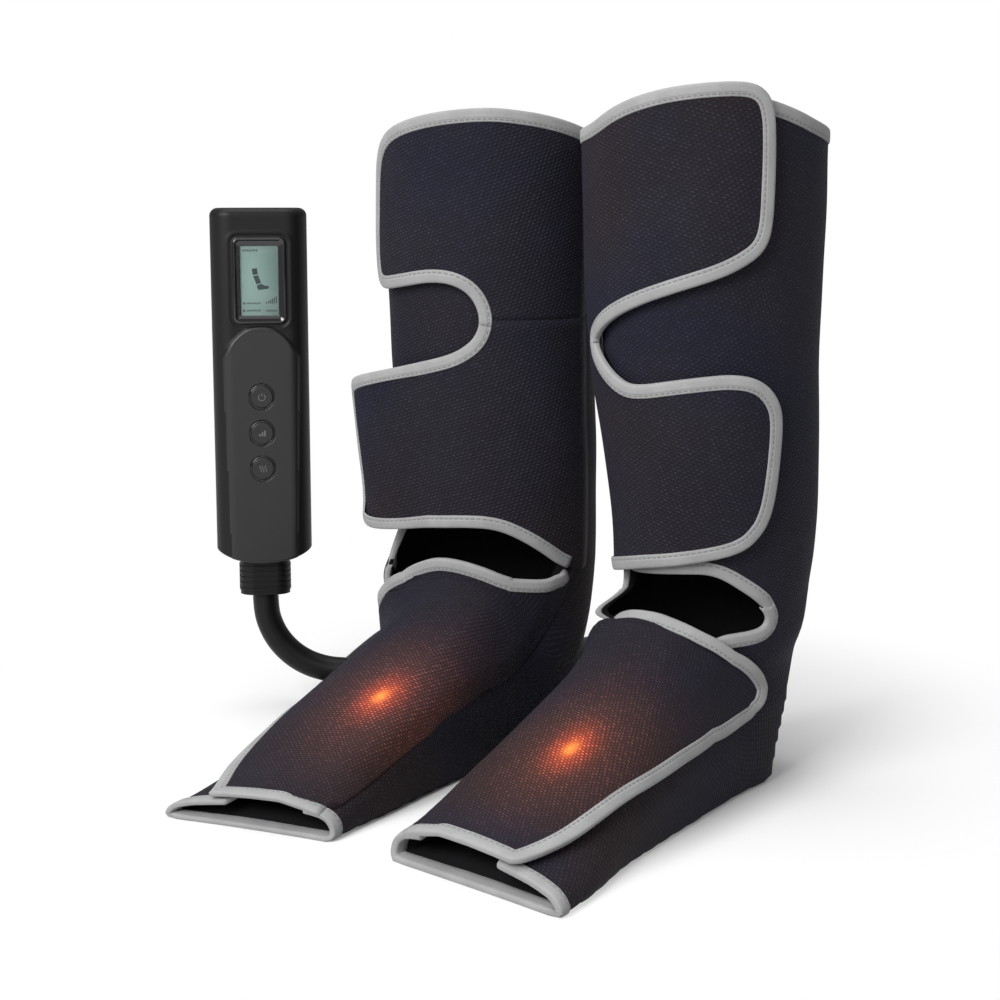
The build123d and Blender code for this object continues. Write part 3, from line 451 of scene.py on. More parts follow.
# the boot's outer surface, in mm about the leg axis of the left boot
bootForm = {
    "rim": 431.0,
    "legHeights": [0, 49, 130, 243, 324, 431],
    "legHalfWidths": [35.0, 44.0, 59.2, 68.3, 70.15, 72.0],
    "legHalfDepths": [44.0, 52.0, 61.5, 64.3, 66.9, 69.5],
    "legBacks": [16.0, 16.0, 12.8, 2.7, 1.35, 0.0],
    "footPlaces": [-260, -240, -195, -150, -60, 16],
    "footHalfWidths": [58.0, 57.5, 54.0, 50.0, 44.5, 41.0],
    "footHeights": [16.0, 19.5, 38.0, 57.0, 100.0, 121.0],
    "pivot": (-62.0, 120.0),
    "pivotReach": 72.0,
    "legEnd": 311.0,
    "heelEnd": 16.0,
    "toeLimit": -259.0,
    "toeAhead": 247.0,  # from the leg's axis to the toe's edge
    # the instep's section: places from its inner to its outer side, and how high it is there
    "topAcross": [-1, -0.85, -0.66, -0.33, 0, 0.33, 0.66, 0.85, 1],
    "topHeights": [0.58, 0.80, 0.93, 0.985, 1, 0.955, 0.83, 0.66, 0.42],
    "topSteepness": 0.86,
    "softness": {"foot": 9, "ankle": 20, "sole": 5},  # mm over which two forms run together
}
bootSpacing = 163.5
fanEnd = bootForm["legEnd"] + bootForm["pivotReach"] * pi / 2
toeEnd = fanEnd + bootForm["toeAhead"] + bootForm["pivot"][0]


def smoothTable(places, values, spread):
    reach = np.arange(min(places) - 4 * spread, max(places) + 4 * spread, spread / 8)
    raw = np.interp(reach, places, values)
    kernel = np.exp(-np.linspace(-3, 3, 49) ** 2 / 2)
    soft = np.convolve(np.pad(raw, 24, mode="edge"), kernel / kernel.sum(), mode="valid")
    return lambda at: np.interp(at, reach, soft)


legHalfWidth = smoothTable(bootForm["legHeights"], bootForm["legHalfWidths"], 14)
legHalfDepth = smoothTable(bootForm["legHeights"], bootForm["legHalfDepths"], 14)
legBack = smoothTable(bootForm["legHeights"], bootForm["legBacks"], 14)
footHalfWidth = smoothTable(bootForm["footPlaces"], bootForm["footHalfWidths"], 10)
footHeight = smoothTable(bootForm["footPlaces"], bootForm["footHeights"], 10)
footTop = smoothTable(bootForm["topAcross"], bootForm["topHeights"], 0.05)


def smoothStep(x):
    x = np.clip(x, 0, 1)
    return x * x * (3 - 2 * x)


def softMax(a, b, k):
    h = np.clip(0.5 + 0.5 * (a - b) / k, 0, 1)
    return b * (1 - h) + a * h + k * h * (1 - h)


# below nought inside the boot, nought on its skin
def bootField(x, y, z):
    soft, heelEnd = bootForm["softness"], bootForm["heelEnd"]
    height = np.clip(z, 0, bootForm["rim"])
    a, b, c = legHalfWidth(height), legHalfDepth(height), legBack(height)
    leg = (np.sqrt((x / a) ** 2 + ((y - c) / b) ** 2) - 1) * (a + b) / 2
    place = np.clip(y, bootForm["toeLimit"], heelEnd)
    w, h = footHalfWidth(place), footHeight(place)
    top = (z - h * footTop(np.clip(x / w, -1, 1))) * bootForm["topSteepness"]
    foot = np.maximum(softMax(top, np.abs(x) - w, soft["foot"]), y - heelEnd)
    both = -softMax(-leg, -foot, soft["ankle"])
    return softMax(both, -z, soft["sole"])


# where the line inside the boot runs at s mm down it, and which way its front faces
def bootCentreLine(s):
    legEnd, reach, (pivotY, pivotZ) = bootForm["legEnd"], bootForm["pivotReach"], bootForm["pivot"]
    height = np.clip(bootForm["rim"] - s, 0, bootForm["rim"])
    turn = np.clip((s - legEnd) / reach, 0, pi / 2)
    onLeg, onFoot = s < legEnd, s > fanEnd
    y = pivotY - (s - fanEnd)
    cy = np.where(onLeg, legBack(height), np.where(onFoot, y, pivotY + reach * np.cos(turn)))
    low = np.clip(0.5 * footHeight(np.clip(y, bootForm["toeLimit"], bootForm["heelEnd"])), 0, 48)
    cz = np.where(onLeg, bootForm["rim"] - s, np.where(onFoot, low, pivotZ - reach * np.sin(turn)))
    ey = np.where(onLeg, -1.0, np.where(onFoot, 0.0, -np.cos(turn)))
    ez = np.where(onLeg, 0.0, np.where(onFoot, 1.0, np.sin(turn)))
    return cy, cz, ey, ez


searchReach, searchRounds = 130.0, 26


# walks out from that line to the skin, then stands off it by the rise
def bootSurface(s, angle, rise):
    s, angle = np.broadcast_arrays(np.asarray(s, float), np.radians(np.asarray(angle, float)))
    cy, cz, ey, ez = bootCentreLine(s)
    dx, dy, dz = np.sin(angle), np.cos(angle) * ey, np.cos(angle) * ez
    near, far = np.zeros_like(dx), np.full_like(dx, searchReach)
    for _ in range(searchRounds):
        middle = (near + far) / 2
        inside = bootField(dx * middle, cy + dy * middle, cz + dz * middle) < 0
        near, far = np.where(inside, middle, near), np.where(inside, far, middle)
    at = np.stack([dx * near, cy + dy * near, cz + dz * near], -1)
    steps = np.eye(3) * 0.5
    slope = unit(np.stack([bootField(*(at + e).T) - bootField(*(at - e).T) for e in steps], 0).T)
    return at + slope * np.asarray(rise)[..., None]


# the slight waves that the cloth has all over
def ripple(s, angle):
    a = np.radians(angle)
    slow = 0.55 * np.sin(s / 31 + 2.1 * np.sin(a * 1.3 + 0.7)) * np.cos(2 * a + s / 70)
    mid = 0.35 * np.sin(s / 13.0 + 3 * np.cos(a * 2.2)) * np.sin(3 * a - s / 45)
    return slow + mid


# the left boot's toe is splayed a little wider and the right one's lies flatter; 1 means left, -1 right
toeForm = {"from": -150, "run": 85, "widen": {1: 0.11, -1: -0.03}, "flatten": {1: 0.02, -1: 0.20}}


def toWorld(points, side):
    placed = np.array(points, float)
    towardToe = smoothStep((toeForm["from"] - placed[..., 1]) / toeForm["run"])
    placed[..., 0] *= 1 + toeForm["widen"][side] * towardToe
    placed[..., 2] *= 1 - toeForm["flatten"][side] * towardToe
    placed[..., 0] = side * (placed[..., 0] + bootSpacing / 2)
    return placed / 1000 + np.array(centre)


# panels are cut from that surface; outlines are (mm down the boot, degrees round it, outer side positive)
roundScale = 1.12  # mm per degree round the boot
tableStep = 5.0
tableDown = np.arange(-10.0, toeEnd + 12.0, tableStep)
tableRound = np.arange(-115.0, 305.0, tableStep)


# how far each place lies from the rim, from the toe and from the front, along the cloth
def clothTables():
    down, around = np.meshgrid(tableDown, tableRound, indexing="ij")
    points = bootSurface(down, around, 0.0)
    stepsDown = np.linalg.norm(np.diff(points, axis=0), axis=2)
    stepsRound = np.linalg.norm(np.diff(points, axis=1), axis=2)
    fromTop = np.vstack([np.zeros((1, len(tableRound))), np.cumsum(stepsDown, axis=0)])
    across = np.hstack([np.zeros((len(tableDown), 1)), np.cumsum(stepsRound, axis=1)])
    front = int(round((0.0 - tableRound[0]) / tableStep))
    across -= across[:, front : front + 1]
    fromToe = fromTop - fromTop[-1:] + toeEnd
    return fromTop, fromToe, across


fromTopTable, fromToeTable, acrossTable = clothTables()


def readTable(table, s, angle):
    r = np.clip((s - tableDown[0]) / tableStep, 0, len(tableDown) - 1.001)
    c = np.clip((angle - tableRound[0]) / tableStep, 0, len(tableRound) - 1.001)
    i, j = r.astype(int), c.astype(int)
    fr, fc = r - i, c - j
    upper = table[i, j] * (1 - fc) + table[i, j + 1] * fc
    lower = table[i + 1, j] * (1 - fc) + table[i + 1, j + 1] * fc
    return upper * (1 - fr) + lower * fr


def clothPlace(s, angle, anchor):
    down = {"top": fromTopTable, "toe": fromToeTable}.get(anchor)
    return np.stack([readTable(acrossTable, s, angle), s if down is None else readTable(down, s, angle)], -1)


# the same line with its points a step apart
def resample(outline, step, closed=True):
    points = np.array(outline, float)
    if closed:
        points = np.vstack([points, points[:1]])
    along = runAlong(points * (1, roundScale))
    count = max(8, int(round(along[-1] / step)))
    at = np.linspace(0, along[-1], count + 1)[: count + (not closed)]
    return np.stack([np.interp(at, along, points[:, k]) for k in (0, 1)], -1)


# the same closed line with rounded corners
def roundOff(outline, radius):
    fine = resample(outline, 1.0)
    kernel = np.exp(-np.linspace(-2.2, 2.2, 2 * radius + 1) ** 2)
    kernel /= kernel.sum()
    padded = np.vstack([fine[-radius:], fine, fine[:radius]])
    return np.stack([np.convolve(padded[:, k], kernel, mode="valid") for k in (0, 1)], -1)


# the same open line drawn smooth by cutting its corners
def eased(path, rounds=3):
    line = np.array(path, float)
    for _ in range(rounds):
        near, far = line[:-1], line[1:]
        cut = np.stack([0.75 * near + 0.25 * far, 0.25 * near + 0.75 * far], 1).reshape(-1, 2)
        line = np.vstack([line[:1], cut, line[-1:]])
    return line


def insideOutline(points, outline):
    x, y = points.T
    hit = np.zeros(len(points), bool)
    for (a, b), (c, d) in zip(outline, np.roll(outline, -1, 0)):
        if b != d:
            hit ^= ((b > y) != (d > y)) & (x < (c - a) * (y - b) / (d - b) + a)
    return hit


def nearest(points, targets):
    gap = np.full(len(points), 1e9)
    for target in targets:
        gap = np.minimum(gap, ((points - target) ** 2).sum(1))
    return np.sqrt(gap)


# fills an outline with triangles about a step wide
def cutPanel(outline, step):
    flat = resample(outline, step) * (1, roundScale)
    lines = [np.arange(flat[:, k].min() + step / 2, flat[:, k].max(), step) for k in (0, 1)]
    grid = np.stack([g.ravel() for g in np.meshgrid(*lines, indexing="ij")], -1)
    grid = grid[insideOutline(grid, flat)]
    grid = grid[nearest(grid, flat) > 0.6 * step]
    loop = [(k, (k + 1) % len(flat)) for k in range(len(flat))]
    points = [Vector(p) for p in np.vstack([flat, grid])]
    verts, _, faces, *_ = delaunay_2d_cdt(points, loop, [], 0, 1e-5)
    verts = np.array([tuple(v) for v in verts])
    faces = np.array([f for f in faces if len(f) == 3])
    faces = faces[insideOutline(verts[faces].mean(1), flat)]
    a, b, c = (verts[faces[:, k]] for k in range(3))
    area = (b - a)[:, 0] * (c - a)[:, 1] - (b - a)[:, 1] * (c - a)[:, 0]
    faces, area = faces[np.abs(area) > 1e-6], area[np.abs(area) > 1e-6]
    faces[area < 0] = faces[area < 0][:, ::-1]
    return verts / (1, roundScale), faces


def boundaryOf(faces):
    seen = {(int(a), int(b)): True for face in faces for a, b in zip(face, np.roll(face, -1))}
    return [(a, b) for (a, b) in seen if (b, a) not in seen]


# how thin the cloth is pressed along its edge, and how far in that reaches
edgeForm = {"thin": 2.6, "hold": 3.0, "spread": 15.0}


def thinned(full, fromEdge):
    inside = smoothStep((fromEdge - edgeForm["hold"]) / edgeForm["spread"])
    return edgeForm["thin"] + (full - edgeForm["thin"]) * inside


# a panel of cloth with its own thickness
def makePanel(name, outline, rise, thickness, side, outer, inner, step, anchor=None, below=None, bound=None):
    flat, faces = cutPanel(outline, step)
    s, angle = flat.T
    top = bootSurface(s, angle, rise(s, angle))
    depth = thickness(s, angle) if callable(thickness) else thickness
    if bound is not None:
        edge = resample(bound, 4.0, closed=False) * (1, roundScale)
        depth = thinned(depth, nearest(flat * (1, roundScale), edge))
    under = bootSurface(s, angle, rise(s, angle) - depth)
    count = len(flat)
    points = toWorld(np.vstack([top, under]), side)
    rim = [(b, a, a + count, b + count) for a, b in boundaryOf(faces)]
    everyFace = [tuple(map(int, f)) for f in np.vstack([faces, faces[:, ::-1] + count])] + rim
    # the surface's own frame is left-handed on the left boot
    if side > 0:
        everyFace = [f[::-1] for f in everyFace]
    which = np.array([0] * len(faces) + [1] * (len(everyFace) - len(faces)))
    finishes = [outer, inner]
    if below is not None:  # the part of the outer face that is walked on
        low = top[faces][:, :, 2].max(1) < bodyForm["soleRise"]
        onFoot = flat[faces].mean(1)[:, 0] > fanEnd - bodyForm["soleRun"]
        which[: len(faces)] = 2 * (low & onFoot)
        finishes.append(below)
    uvs = np.tile(clothPlace(s, angle, anchor), (2, 1))
    return meshObject(name, points, everyFace, finishes, uvs, which)


slideForm = {"rounds": 4, "probe": 0.4, "farthest": 14, "strayLimit": 2.5}


# finds the place on the skin, at this lift, that lies at the target
def slideTo(at, lift, target):
    s, angle = at
    probe, farthest = slideForm["probe"], slideForm["farthest"]
    for _ in range(slideForm["rounds"]):
        here = bootSurface(s, angle, lift)
        stepS = bootSurface(s + probe, angle, lift) - here
        stepA = bootSurface(s, angle + probe, lift) - here
        left = target - here
        g11, g12, g22 = (stepS**2).sum(1), (stepS * stepA).sum(1), (stepA**2).sum(1)
        r1, r2 = (stepS * left).sum(1), (stepA * left).sum(1)
        det = np.maximum(g11 * g22 - g12**2, 1e-7)
        s = s + np.clip(probe * (r1 * g22 - r2 * g12) / det, -farthest, farthest)
        angle = angle + np.clip(probe * (r2 * g11 - r1 * g12) / det, -farthest, farthest)
    # a point that went astray is put back between its neighbours
    astray = np.linalg.norm(bootSurface(s, angle, lift) - target, axis=1) > slideForm["strayLimit"]
    row = np.arange(len(s))
    s[astray], angle[astray] = (np.interp(row[astray], row[~astray], v[~astray]) for v in (s, angle))
    return s, angle


# the outer and inner line of the folded tape: mm in from the cut edge, and how far off the cloth in mm
tapeTop = [(-0.9, -0.5), (-0.7, 0.2), (0, 0.75), (1.2, 0.95), (3.8, 1), (6.2, 0.95), (7.3, 0.7), (7.6, -0.3)]
tapeUnder = [(-0.9, 0.5), (-0.7, -0.2), (0, -0.75), (1.2, -0.95), (3.8, -1), (7.2, -0.8), (7.5, 0.3)]


def makeBinding(name, path, rise, thickness, side, turn=1.0):
    s, angle = resample(path, 2.6, closed=False).T
    lift, around = rise(s, angle), thickness(s, angle)
    here = bootSurface(s, angle, lift)
    ahead = np.vstack([here[1:], 2 * here[-1] - here[-2]])
    behind = np.vstack([2 * here[0] - here[1], here[:-1]])
    out = unit(bootSurface(s, angle, lift + 1.0) - here)
    inward = np.cross(unit(ahead - behind), out) * turn
    places, at, reached = {}, (s.copy(), angle.copy()), 0.0
    for reach in sorted({r for r, _ in tapeTop + tapeUnder if r > 0}):
        while reached < reach - 1e-6:
            reached = min(reach, reached + 2.0)
            at = slideTo(at, lift, here + inward * reached)
        places[reach] = at

    def ringAt(reach, height):
        if reach <= 0:
            return here + inward * reach + out * height[:, None]
        return bootSurface(*places[reach], lift + height)

    rings = [ringAt(reach, height + 0 * lift) for reach, height in reversed(tapeTop)]
    rings += [ringAt(reach, height - thinned(around, max(reach, 0))) for reach, height in tapeUnder]
    rings = np.array(rings)
    total, count, _ = rings.shape
    widths = np.concatenate([[0], np.cumsum(np.linalg.norm(np.diff(rings, axis=0), axis=2).mean(1))])
    uvs = np.stack([np.tile(runAlong(here), total), np.repeat(widths, count)], -1)
    corners = [row * count + k for row in range(total - 1) for k in range(count - 1)]
    faces = [(a, a + 1, a + count + 1, a + count) for a in corners]
    faces += [tuple(range(0, total * count, count)), tuple(range(count - 1, total * count, count))[::-1]]
    if (side > 0) != (turn > 0):
        faces = [f[::-1] for f in faces]
    return meshObject(name, toWorld(rings.reshape(-1, 3), side), faces, [binding], uvs)


flapForm = {
    "rise": 6.8,
    "thickness": 5.2,
    "root": -96.0,
    "rampWidth": 13.0,
    "footRoot": -84.0,
    "footRampWidth": 20.0,
    "tapeFrom": {"lower": -74, "foot": -77},  # where the binding starts, near the root
    # a line across each flap, named for a bend that nothing here makes: mm down the boot, then from which
    # angle to which
    "bends": {"upper": (72, -47, -30), "lower": (240, -47, -30), "foot": (480, -62, -34)},
}
bodyForm = {
    "thickness": 7.0,
    "soleThickness": 9.4,
    "soleRise": 4.5,  # up to here, and from soleRun ahead of the heel's turn, the outside is sole
    "soleRun": 60,
    "bladderDepth": 2.4,
    "padDepth": 1.8,
    "ripple": 0.8,
}
folds = {"ankle": 350.0, "reach": 42.0, "depth": 1.5}


# the broad bulges at the ankle, instep and calf
def swell(s, angle, bulges):
    total = np.zeros_like(np.asarray(s, float))
    for height, downTo, down, roundTo, around in bulges:
        turned = (angle - roundTo + 180) % 360 - 180
        total = total + height * np.exp(-(((s - downTo) / down) ** 2) - (turned / around) ** 2)
    return total


# waves, with creases across the front of the ankle
def sag(s, angle):
    atFront = smoothStep((np.abs(angle - 90) - 100) / -45)
    ankle = np.exp(-(((s - folds["ankle"]) / folds["reach"]) ** 2)) * atFront
    crease = np.sin(s / 7.0 + 0.05 * angle) * np.sin(np.radians(2.3 * angle + 20)) ** 2
    calm = 1 - 0.9 * smoothStep((s - 530) / 45)
    return ripple(s, angle) * bodyForm["ripple"] * calm + folds["depth"] * ankle * crease


def bodyDepth(s, angle):
    fromSole = np.abs(angle % 360 - 180)
    onFoot = np.clip((s - fanEnd) / bodyForm["soleRun"] + 1, 0, 1)
    extra = bodyForm["soleThickness"] - bodyForm["thickness"]
    return bodyForm["thickness"] + extra * (1 - np.clip((fromSole - 50) / 25, 0, 1)) * onFoot


# how far the body and each flap stand off the plain surface
def makeRises(bulges, flare):
    def body(s, angle):
        return sag(s, angle) + swell(s, angle, bulges)

    def flap(s, angle, root, width):
        return 0.6 + (flapForm["rise"] - 0.6) * smoothStep((angle - root) / width) + body(s, angle)

    def upper(s, angle):
        return flap(s, angle, flapForm["root"], flapForm["rampWidth"])

    def lower(s, angle):
        return upper(s, angle) + flare * smoothStep((angle - 4) / 46)

    def foot(s, angle):
        return flap(s, angle, flapForm["footRoot"], flapForm["footRampWidth"])

    return body, upper, lower, foot


def flapDepth(s, angle):
    return np.full(len(s), flapForm["thickness"])


# the front edge's run along the foot, which both boots share
toToe = [(366, 36), (384, 22), (402, 12), (440, 10), (500, 16), (550, 30), (582, 46), (600, 57)]
# bulges: mm out, mm down and its spread, degrees round and its spread; toeLine: mm ahead, mm askew
leftCuts = {
    "bulges": [
        (20, 332, 13, -64, 26), (11, 400, 30, -40, 30), (4, 338, 34, 74, 34), (-9, 250, 70, -74, 46),
        (4, 260, 60, 105, 40),
    ],
    "toeLine": (-5, 9),
    "flare": 0.0,
    "rim": [
        (26, -52), (22, -30), (14, 0), (10, 30), (10, 53), (16, 71), (24, 92), (28, 120), (30, 180),
        (28, 240), (26, 294),
    ],
    "front": [
        (120, -52), (250, -52), (272, -49), (288, -40), (293.5, -27), (292, -10.5), (290, 8), (289, 24),
        (290.5, 32), (294, 39), (299.5, 47), (306, 56), (313.5, 64), (322, 68.5), (330, 67), (336, 60),
        (341.5, 51.5), (348, 43), (359, 37),
    ],
    "seam": [(366, 284), (356, 292), (344, 299), (326, 301), (300, 301), (270, 299), (250, 294)],
    "upper": [
        (30, -96), (27, -66), (26, -48), (23, -33), (15, -18), (9, -3), (5, 12), (3, 26), (2, 39), (3, 49),
        (9, 55), (20, 57.5), (36, 58), (60, 58), (84, 57.5), (96, 54), (104, 46), (111, 35), (118, 18),
        (125, 1), (132, -14), (140, -28), (147, -37), (152, -42),
    ],
    "lower": [
        (152, -42), (157, -40), (163, -33), (170, -24), (176, -14), (176, -4), (173, 10), (170, 26),
        (168, 42), (171, 54), (180, 62), (194, 66), (230, 63.5), (256, 59), (268, 51), (272.5, 45),
        (275.5, 38.5), (278, 30), (280, 22), (282, 13.5), (284, 4.5), (286, -5.5), (289, -17), (292, -29),
        (295.5, -43), (298, -56), (300, -68), (302, -96),
    ],
    "foot": [
        (364, -84), (361, -62), (357, -44), (352, -32), (343, -24), (337, -13), (339, 0), (347, 9),
        (354, 19), (357, 33), (357, 46), (356.5, 60), (357.5, 68.5), (359, 77), (361, 86), (364.5, 95),
        (370, 100.5), (376, 103), (384, 102.5), (392.5, 98.5), (403, 95), (413, 93.3), (423, 93),
        (433.5, 92.6), (444.5, 91), (464.5, 87), (483, 84.5), (509, 81), (522, 79.5), (550, 78), (582, 77),
        (604, 75.5),
    ],
    "hooks": {"upper": (44, 92, 39, 51), "lower": (196, 250, 42, 54), "foot": (410, 560, 62, 74)},
    "spot": (520, 16),
}
rightCuts = {
    "bulges": [(26, 324, 36, 70, 42), (23, 383, 34, 62, 42), (5, 255, 60, -85, 45), (8, 345, 50, -115, 45)],
    "toeLine": (-5, 13),
    "flare": 21.0,
    "rim": [
        (26, -52), (28, -30), (34, 0), (43, 30), (48, 55), (46, 80), (40, 110), (34, 150), (31, 180),
        (29, 230), (26, 270), (26, 294),
    ],
    "front": [
        (120, -52), (246, -52), (262, -48), (266, -30), (264, 0), (266, 22), (272, 34), (284, 44), (300, 51),
        (320, 54), (338, 54), (350, 50), (360, 42),
    ],
    "seam": [(330, 284), (290, 284), (270, 288), (250, 294)],
    "upper": [
        (30, -96), (23, -81), (17.5, -64), (14.5, -49), (13, -37), (13.5, -25), (15, -12), (18, 3), (22, 16),
        (27, 26), (34, 33), (43, 37.5), (54, 40), (74, 42), (100, 45), (112, 45), (121, 42), (125, 34),
        (122, 15), (118, -5), (120, -18), (128, -27), (142, -31),
    ],
    "lower": [
        (142, -31), (154, -28), (162, -20), (167, -10), (172, 8), (178, 30), (183, 46), (188, 52), (198, 54),
        (230, 52), (260, 50.5), (274, 49), (281, 43), (281, 28), (278, 5), (275, -22), (277, -36),
        (285, -49), (294, -60), (301, -68), (306, -78), (308, -96),
    ],
    "foot": [
        (307, -84), (308, -77), (312, -70), (314, -62), (313, -50), (310, -38), (304, -26), (300, -13),
        (299, 0), (302, 11), (309, 25), (322, 36), (337, 46), (346, 56), (354, 68), (362, 80), (372, 90),
        (386, 94), (410, 92), (446, 86), (502, 80), (550, 77), (574, 76), (590, 75), (602, 73),
    ],
    "hooks": {"upper": (56, 104, 20, 32), "lower": (206, 268, 28, 40), "foot": (410, 560, 60, 72)},
    "spot": (508, -40),
}
cuts = {"left": leftCuts, "right": rightCuts}


def patch(low, high, near, far):
    return roundOff([(low, near), (high, near), (high, far), (low, far)], 3)


# the toe's edge, cut askew across the foot
def toeLine(angles, forward, skew):
    across = bootSurface(toeEnd, angles, 0.0)[:, 0] / bootForm["footHalfWidths"][0]
    return [(toeEnd + forward + skew * x, a) for x, a in zip(across, angles)]


def buildBoot(tag):
    side = 1 if tag == "left" else -1
    shape = cuts[tag]
    down, around = shape["spot"]
    spot, ahead = toWorld(bootSurface([down, down + 20], around, flapForm["rise"]), side)
    cloth = makeMeshFabric(tag + "MeshCloth")
    paintedGlowCloth = makeMeshFabric(tag + "PaintedGlowCloth", 0.85, spot, unit(ahead - spot))
    bodyRise, upperRise, lowerRise, footRise = makeRises(shape["bulges"], shape["flare"])
    made = []

    def keep(piece, slotName, stands=(), flap=None, start=None, end=None):
        if flap is None:
            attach(piece, base)
        elif start is None:
            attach(piece, flap)
        else:
            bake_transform(piece)
        if stands:
            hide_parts(*[tag + "_" + node for node in stands])
        made.append(piece)

    def panel(name, outline, rise, thickness, outer, inner, step, **more):
        return makePanel(tag + name, outline, rise, thickness, side, outer, inner, step, **more)

    def tape(name, path, rise, thickness, **more):
        return makeBinding(tag + name + "Binding", path, rise, thickness, side, **more)

    # body: from the medial seam round the back to the front edge under the flaps
    rimPath = eased(shape["rim"])
    toe = toeLine(np.linspace(62, 284, 60), *shape["toeLine"])
    front = eased([shape["rim"][0]] + shape["front"] + toToe + toe[:1])
    bodyEdge = np.vstack([front, toe[1:]])
    outline = np.vstack([bodyEdge, [(toeEnd - 40, 284), (fanEnd, 284)], shape["seam"], rimPath[::-4][:-1]])
    keep(panel("Body", outline, bodyRise, bodyDepth, cloth, lining, 4.5, below=soleSheet, bound=bodyEdge),
         "mesh_fabric", ("calf_cover", "foot_cover", "calf_lining", "foot_lining", "sole"))
    keep(tape("Body", bodyEdge, bodyRise, bodyDepth, turn=-1.0), "mesh_fabric")
    keep(tape("Rim", rimPath, bodyRise, bodyDepth), "mesh_fabric")
    if len(shape["seam"]) > 4:
        keep(tape("Ankle", eased(shape["seam"][-2::-1], 2), bodyRise, bodyDepth), "mesh_fabric")
    for name, node, place in (
        ("CalfBladder", "calf_bladder", (50, 235, 12, 262)),
        ("FootBladder", "foot_bladder", (440, 575, 88, 268)),
    ):
        inside = lambda s, angle: bodyRise(s, angle) - bodyForm["bladderDepth"]
        keep(panel(name, patch(*place), inside, 2.2, bladderFilm, bladderFilm, 7.0), "bladder_film", (node,))

    # the three flaps, each with its binding and its strips of hooks and loops
    notched = eased(shape["upper"] + shape["lower"][1:])
    tip = int(np.argmin(((notched - shape["upper"][-1]) ** 2).sum(1)))
    upper, lower, lowerTape = notched[: tip + 1], notched[tip:], notched[tip - 2 :]
    toeFront = toeLine(np.linspace(72, -82, 34), *shape["toeLine"])
    foot = np.vstack([eased(shape["foot"] + toeFront[:1])[:-1], toeFront])
    root, footRoot, tapeFrom = (flapForm[key] for key in ("root", "footRoot", "tapeFrom"))
    flaps = {
        "upper": (upper, [(upper[-1][0], root), (90, root)], notched[: tip + 3], upperRise),
        "lower": (lower, [(230, root), (lower[0][0], root)],
                  lowerTape[lowerTape[:, 1] > tapeFrom["lower"]], lowerRise),
        "foot": (foot, [(toeEnd - 30, footRoot), (500, footRoot), (380, footRoot)],
                 foot[int(np.argmax(foot[:, 1] > tapeFrom["foot"])) :], footRise),
    }
    for kind, (edge, back, bound, rise) in flaps.items():
        onFoot = kind == "foot"
        name, body = kind.capitalize() + "Flap", tag + "_" + kind + "_flap"
        at, low, high = flapForm["bends"][kind]
        start, end = (tuple(p) for p in toWorld(bootSurface(at, [low, high], 3.0), side))
        outer, anchor = (paintedGlowCloth, "toe") if onFoot else (cloth, "top")
        outline, node = np.vstack([edge, back]), kind + ("_flap" if onFoot else "_calf_flap")
        keep(panel(name, outline, rise, flapDepth, outer, lining, 4.0, anchor=anchor, bound=edge),
             "mesh_fabric", (node,), body, start, end)
        keep(tape(name, bound, rise, flapDepth), "mesh_fabric", (), body, start, end)
        strip = patch(*shape["hooks"][kind])
        under = lambda s, angle: rise(s, angle) - flapForm["thickness"] + 0.1
        over = lambda s, angle: bodyRise(s, angle) + 0.6
        within = lambda s, angle: rise(s, angle) - bodyForm["padDepth"]
        keep(panel(name + "Hooks", strip, under, 0.8, hookTape, hookTape, 4.0), "hook_tape",
             (kind + "_flap_hook",), body)
        keep(panel(name + "Loops", strip, over, 1.0, loopTape, loopTape, 4.0), "loop_tape", ("loop_panels",))
        if onFoot:
            pad = panel("HeatingPad", patch(430, 560, -30, 34), within, 1.2, padFilm, padFilm, 6.0)
            keep(pad, "pad_film", ("heating_pad",), body, start, end)
    return made


boots = [buildBoot("left"), buildBoot("right")]
print("boots made:", sum(len(b) for b in boots), "pieces")


# the hand-held pump, in mm about the lowest point of its case, its face looking along -y
pumpForm = {
    "origin": (-258.0, -33.0, 107.5), "turn": 43.0, "width": 67.0, "depth": 40.0, "height": 248.5,
    "corner": 15.0, "topRound": 5.5, "baseRound": 1.4, "sag": 8.5,
}
panelForm = {"rise": 1.2, "crown": 0.5, "low": 24.5, "high": 27.5, "top": 168.0, "arch": 23.0, "soft": 2.2}
displayForm = {
    "middle": 199.0, "width": 36.0, "height": 59.0, "corner": 4.0, "glassWidth": 26.0, "glassHeight": 48.0,
    "plate": -19.25,
}
buttonForm = {
    "heights": {"power_button": 118.5, "mode_button": 93.0, "heat_button": 68.0},
    "radius": 7.7, "front": -22.6, "wellDepth": 6.5, "wellGap": 0.9,
}


# from the pump's own mm to the scene's metres
def pumpPoint(x, y, z):
    c, s = cos(radians(pumpForm["turn"])), sin(radians(pumpForm["turn"]))
    ox, oy, oz = pumpForm["origin"]
    return ((ox + x * c - y * s) / 1000 + centre.x, (oy + x * s + y * c) / 1000 + centre.y, (oz + z) / 1000)


# the case's front half seen from above, from its left side round to its right
def frontSection(inset):
    half, depth = pumpForm["width"] / 2 - inset, pumpForm["depth"] / 2 - inset
    radius = pumpForm["corner"] - inset
    turns = np.linspace(0, pi / 2, 22)[:-1]
    points = [(-half, y) for y in np.linspace(0, -(depth - radius), 5)[:-1]]
    points += [(-half + radius - radius * cos(a), -(depth - radius) - radius * sin(a)) for a in turns]
    points += [(x, -depth) for x in np.linspace(-half + radius, half - radius, 58)]
    return np.array(points + [(-x, y) for x, y in points[:25][::-1]])


def roundedReach(x, z, halfWidth, halfHeight, corner):
    outX = np.maximum(np.abs(x) - halfWidth + corner, 0)
    outZ = np.maximum(np.abs(z) - halfHeight + corner, 0)
    return np.hypot(outX, outZ) - corner


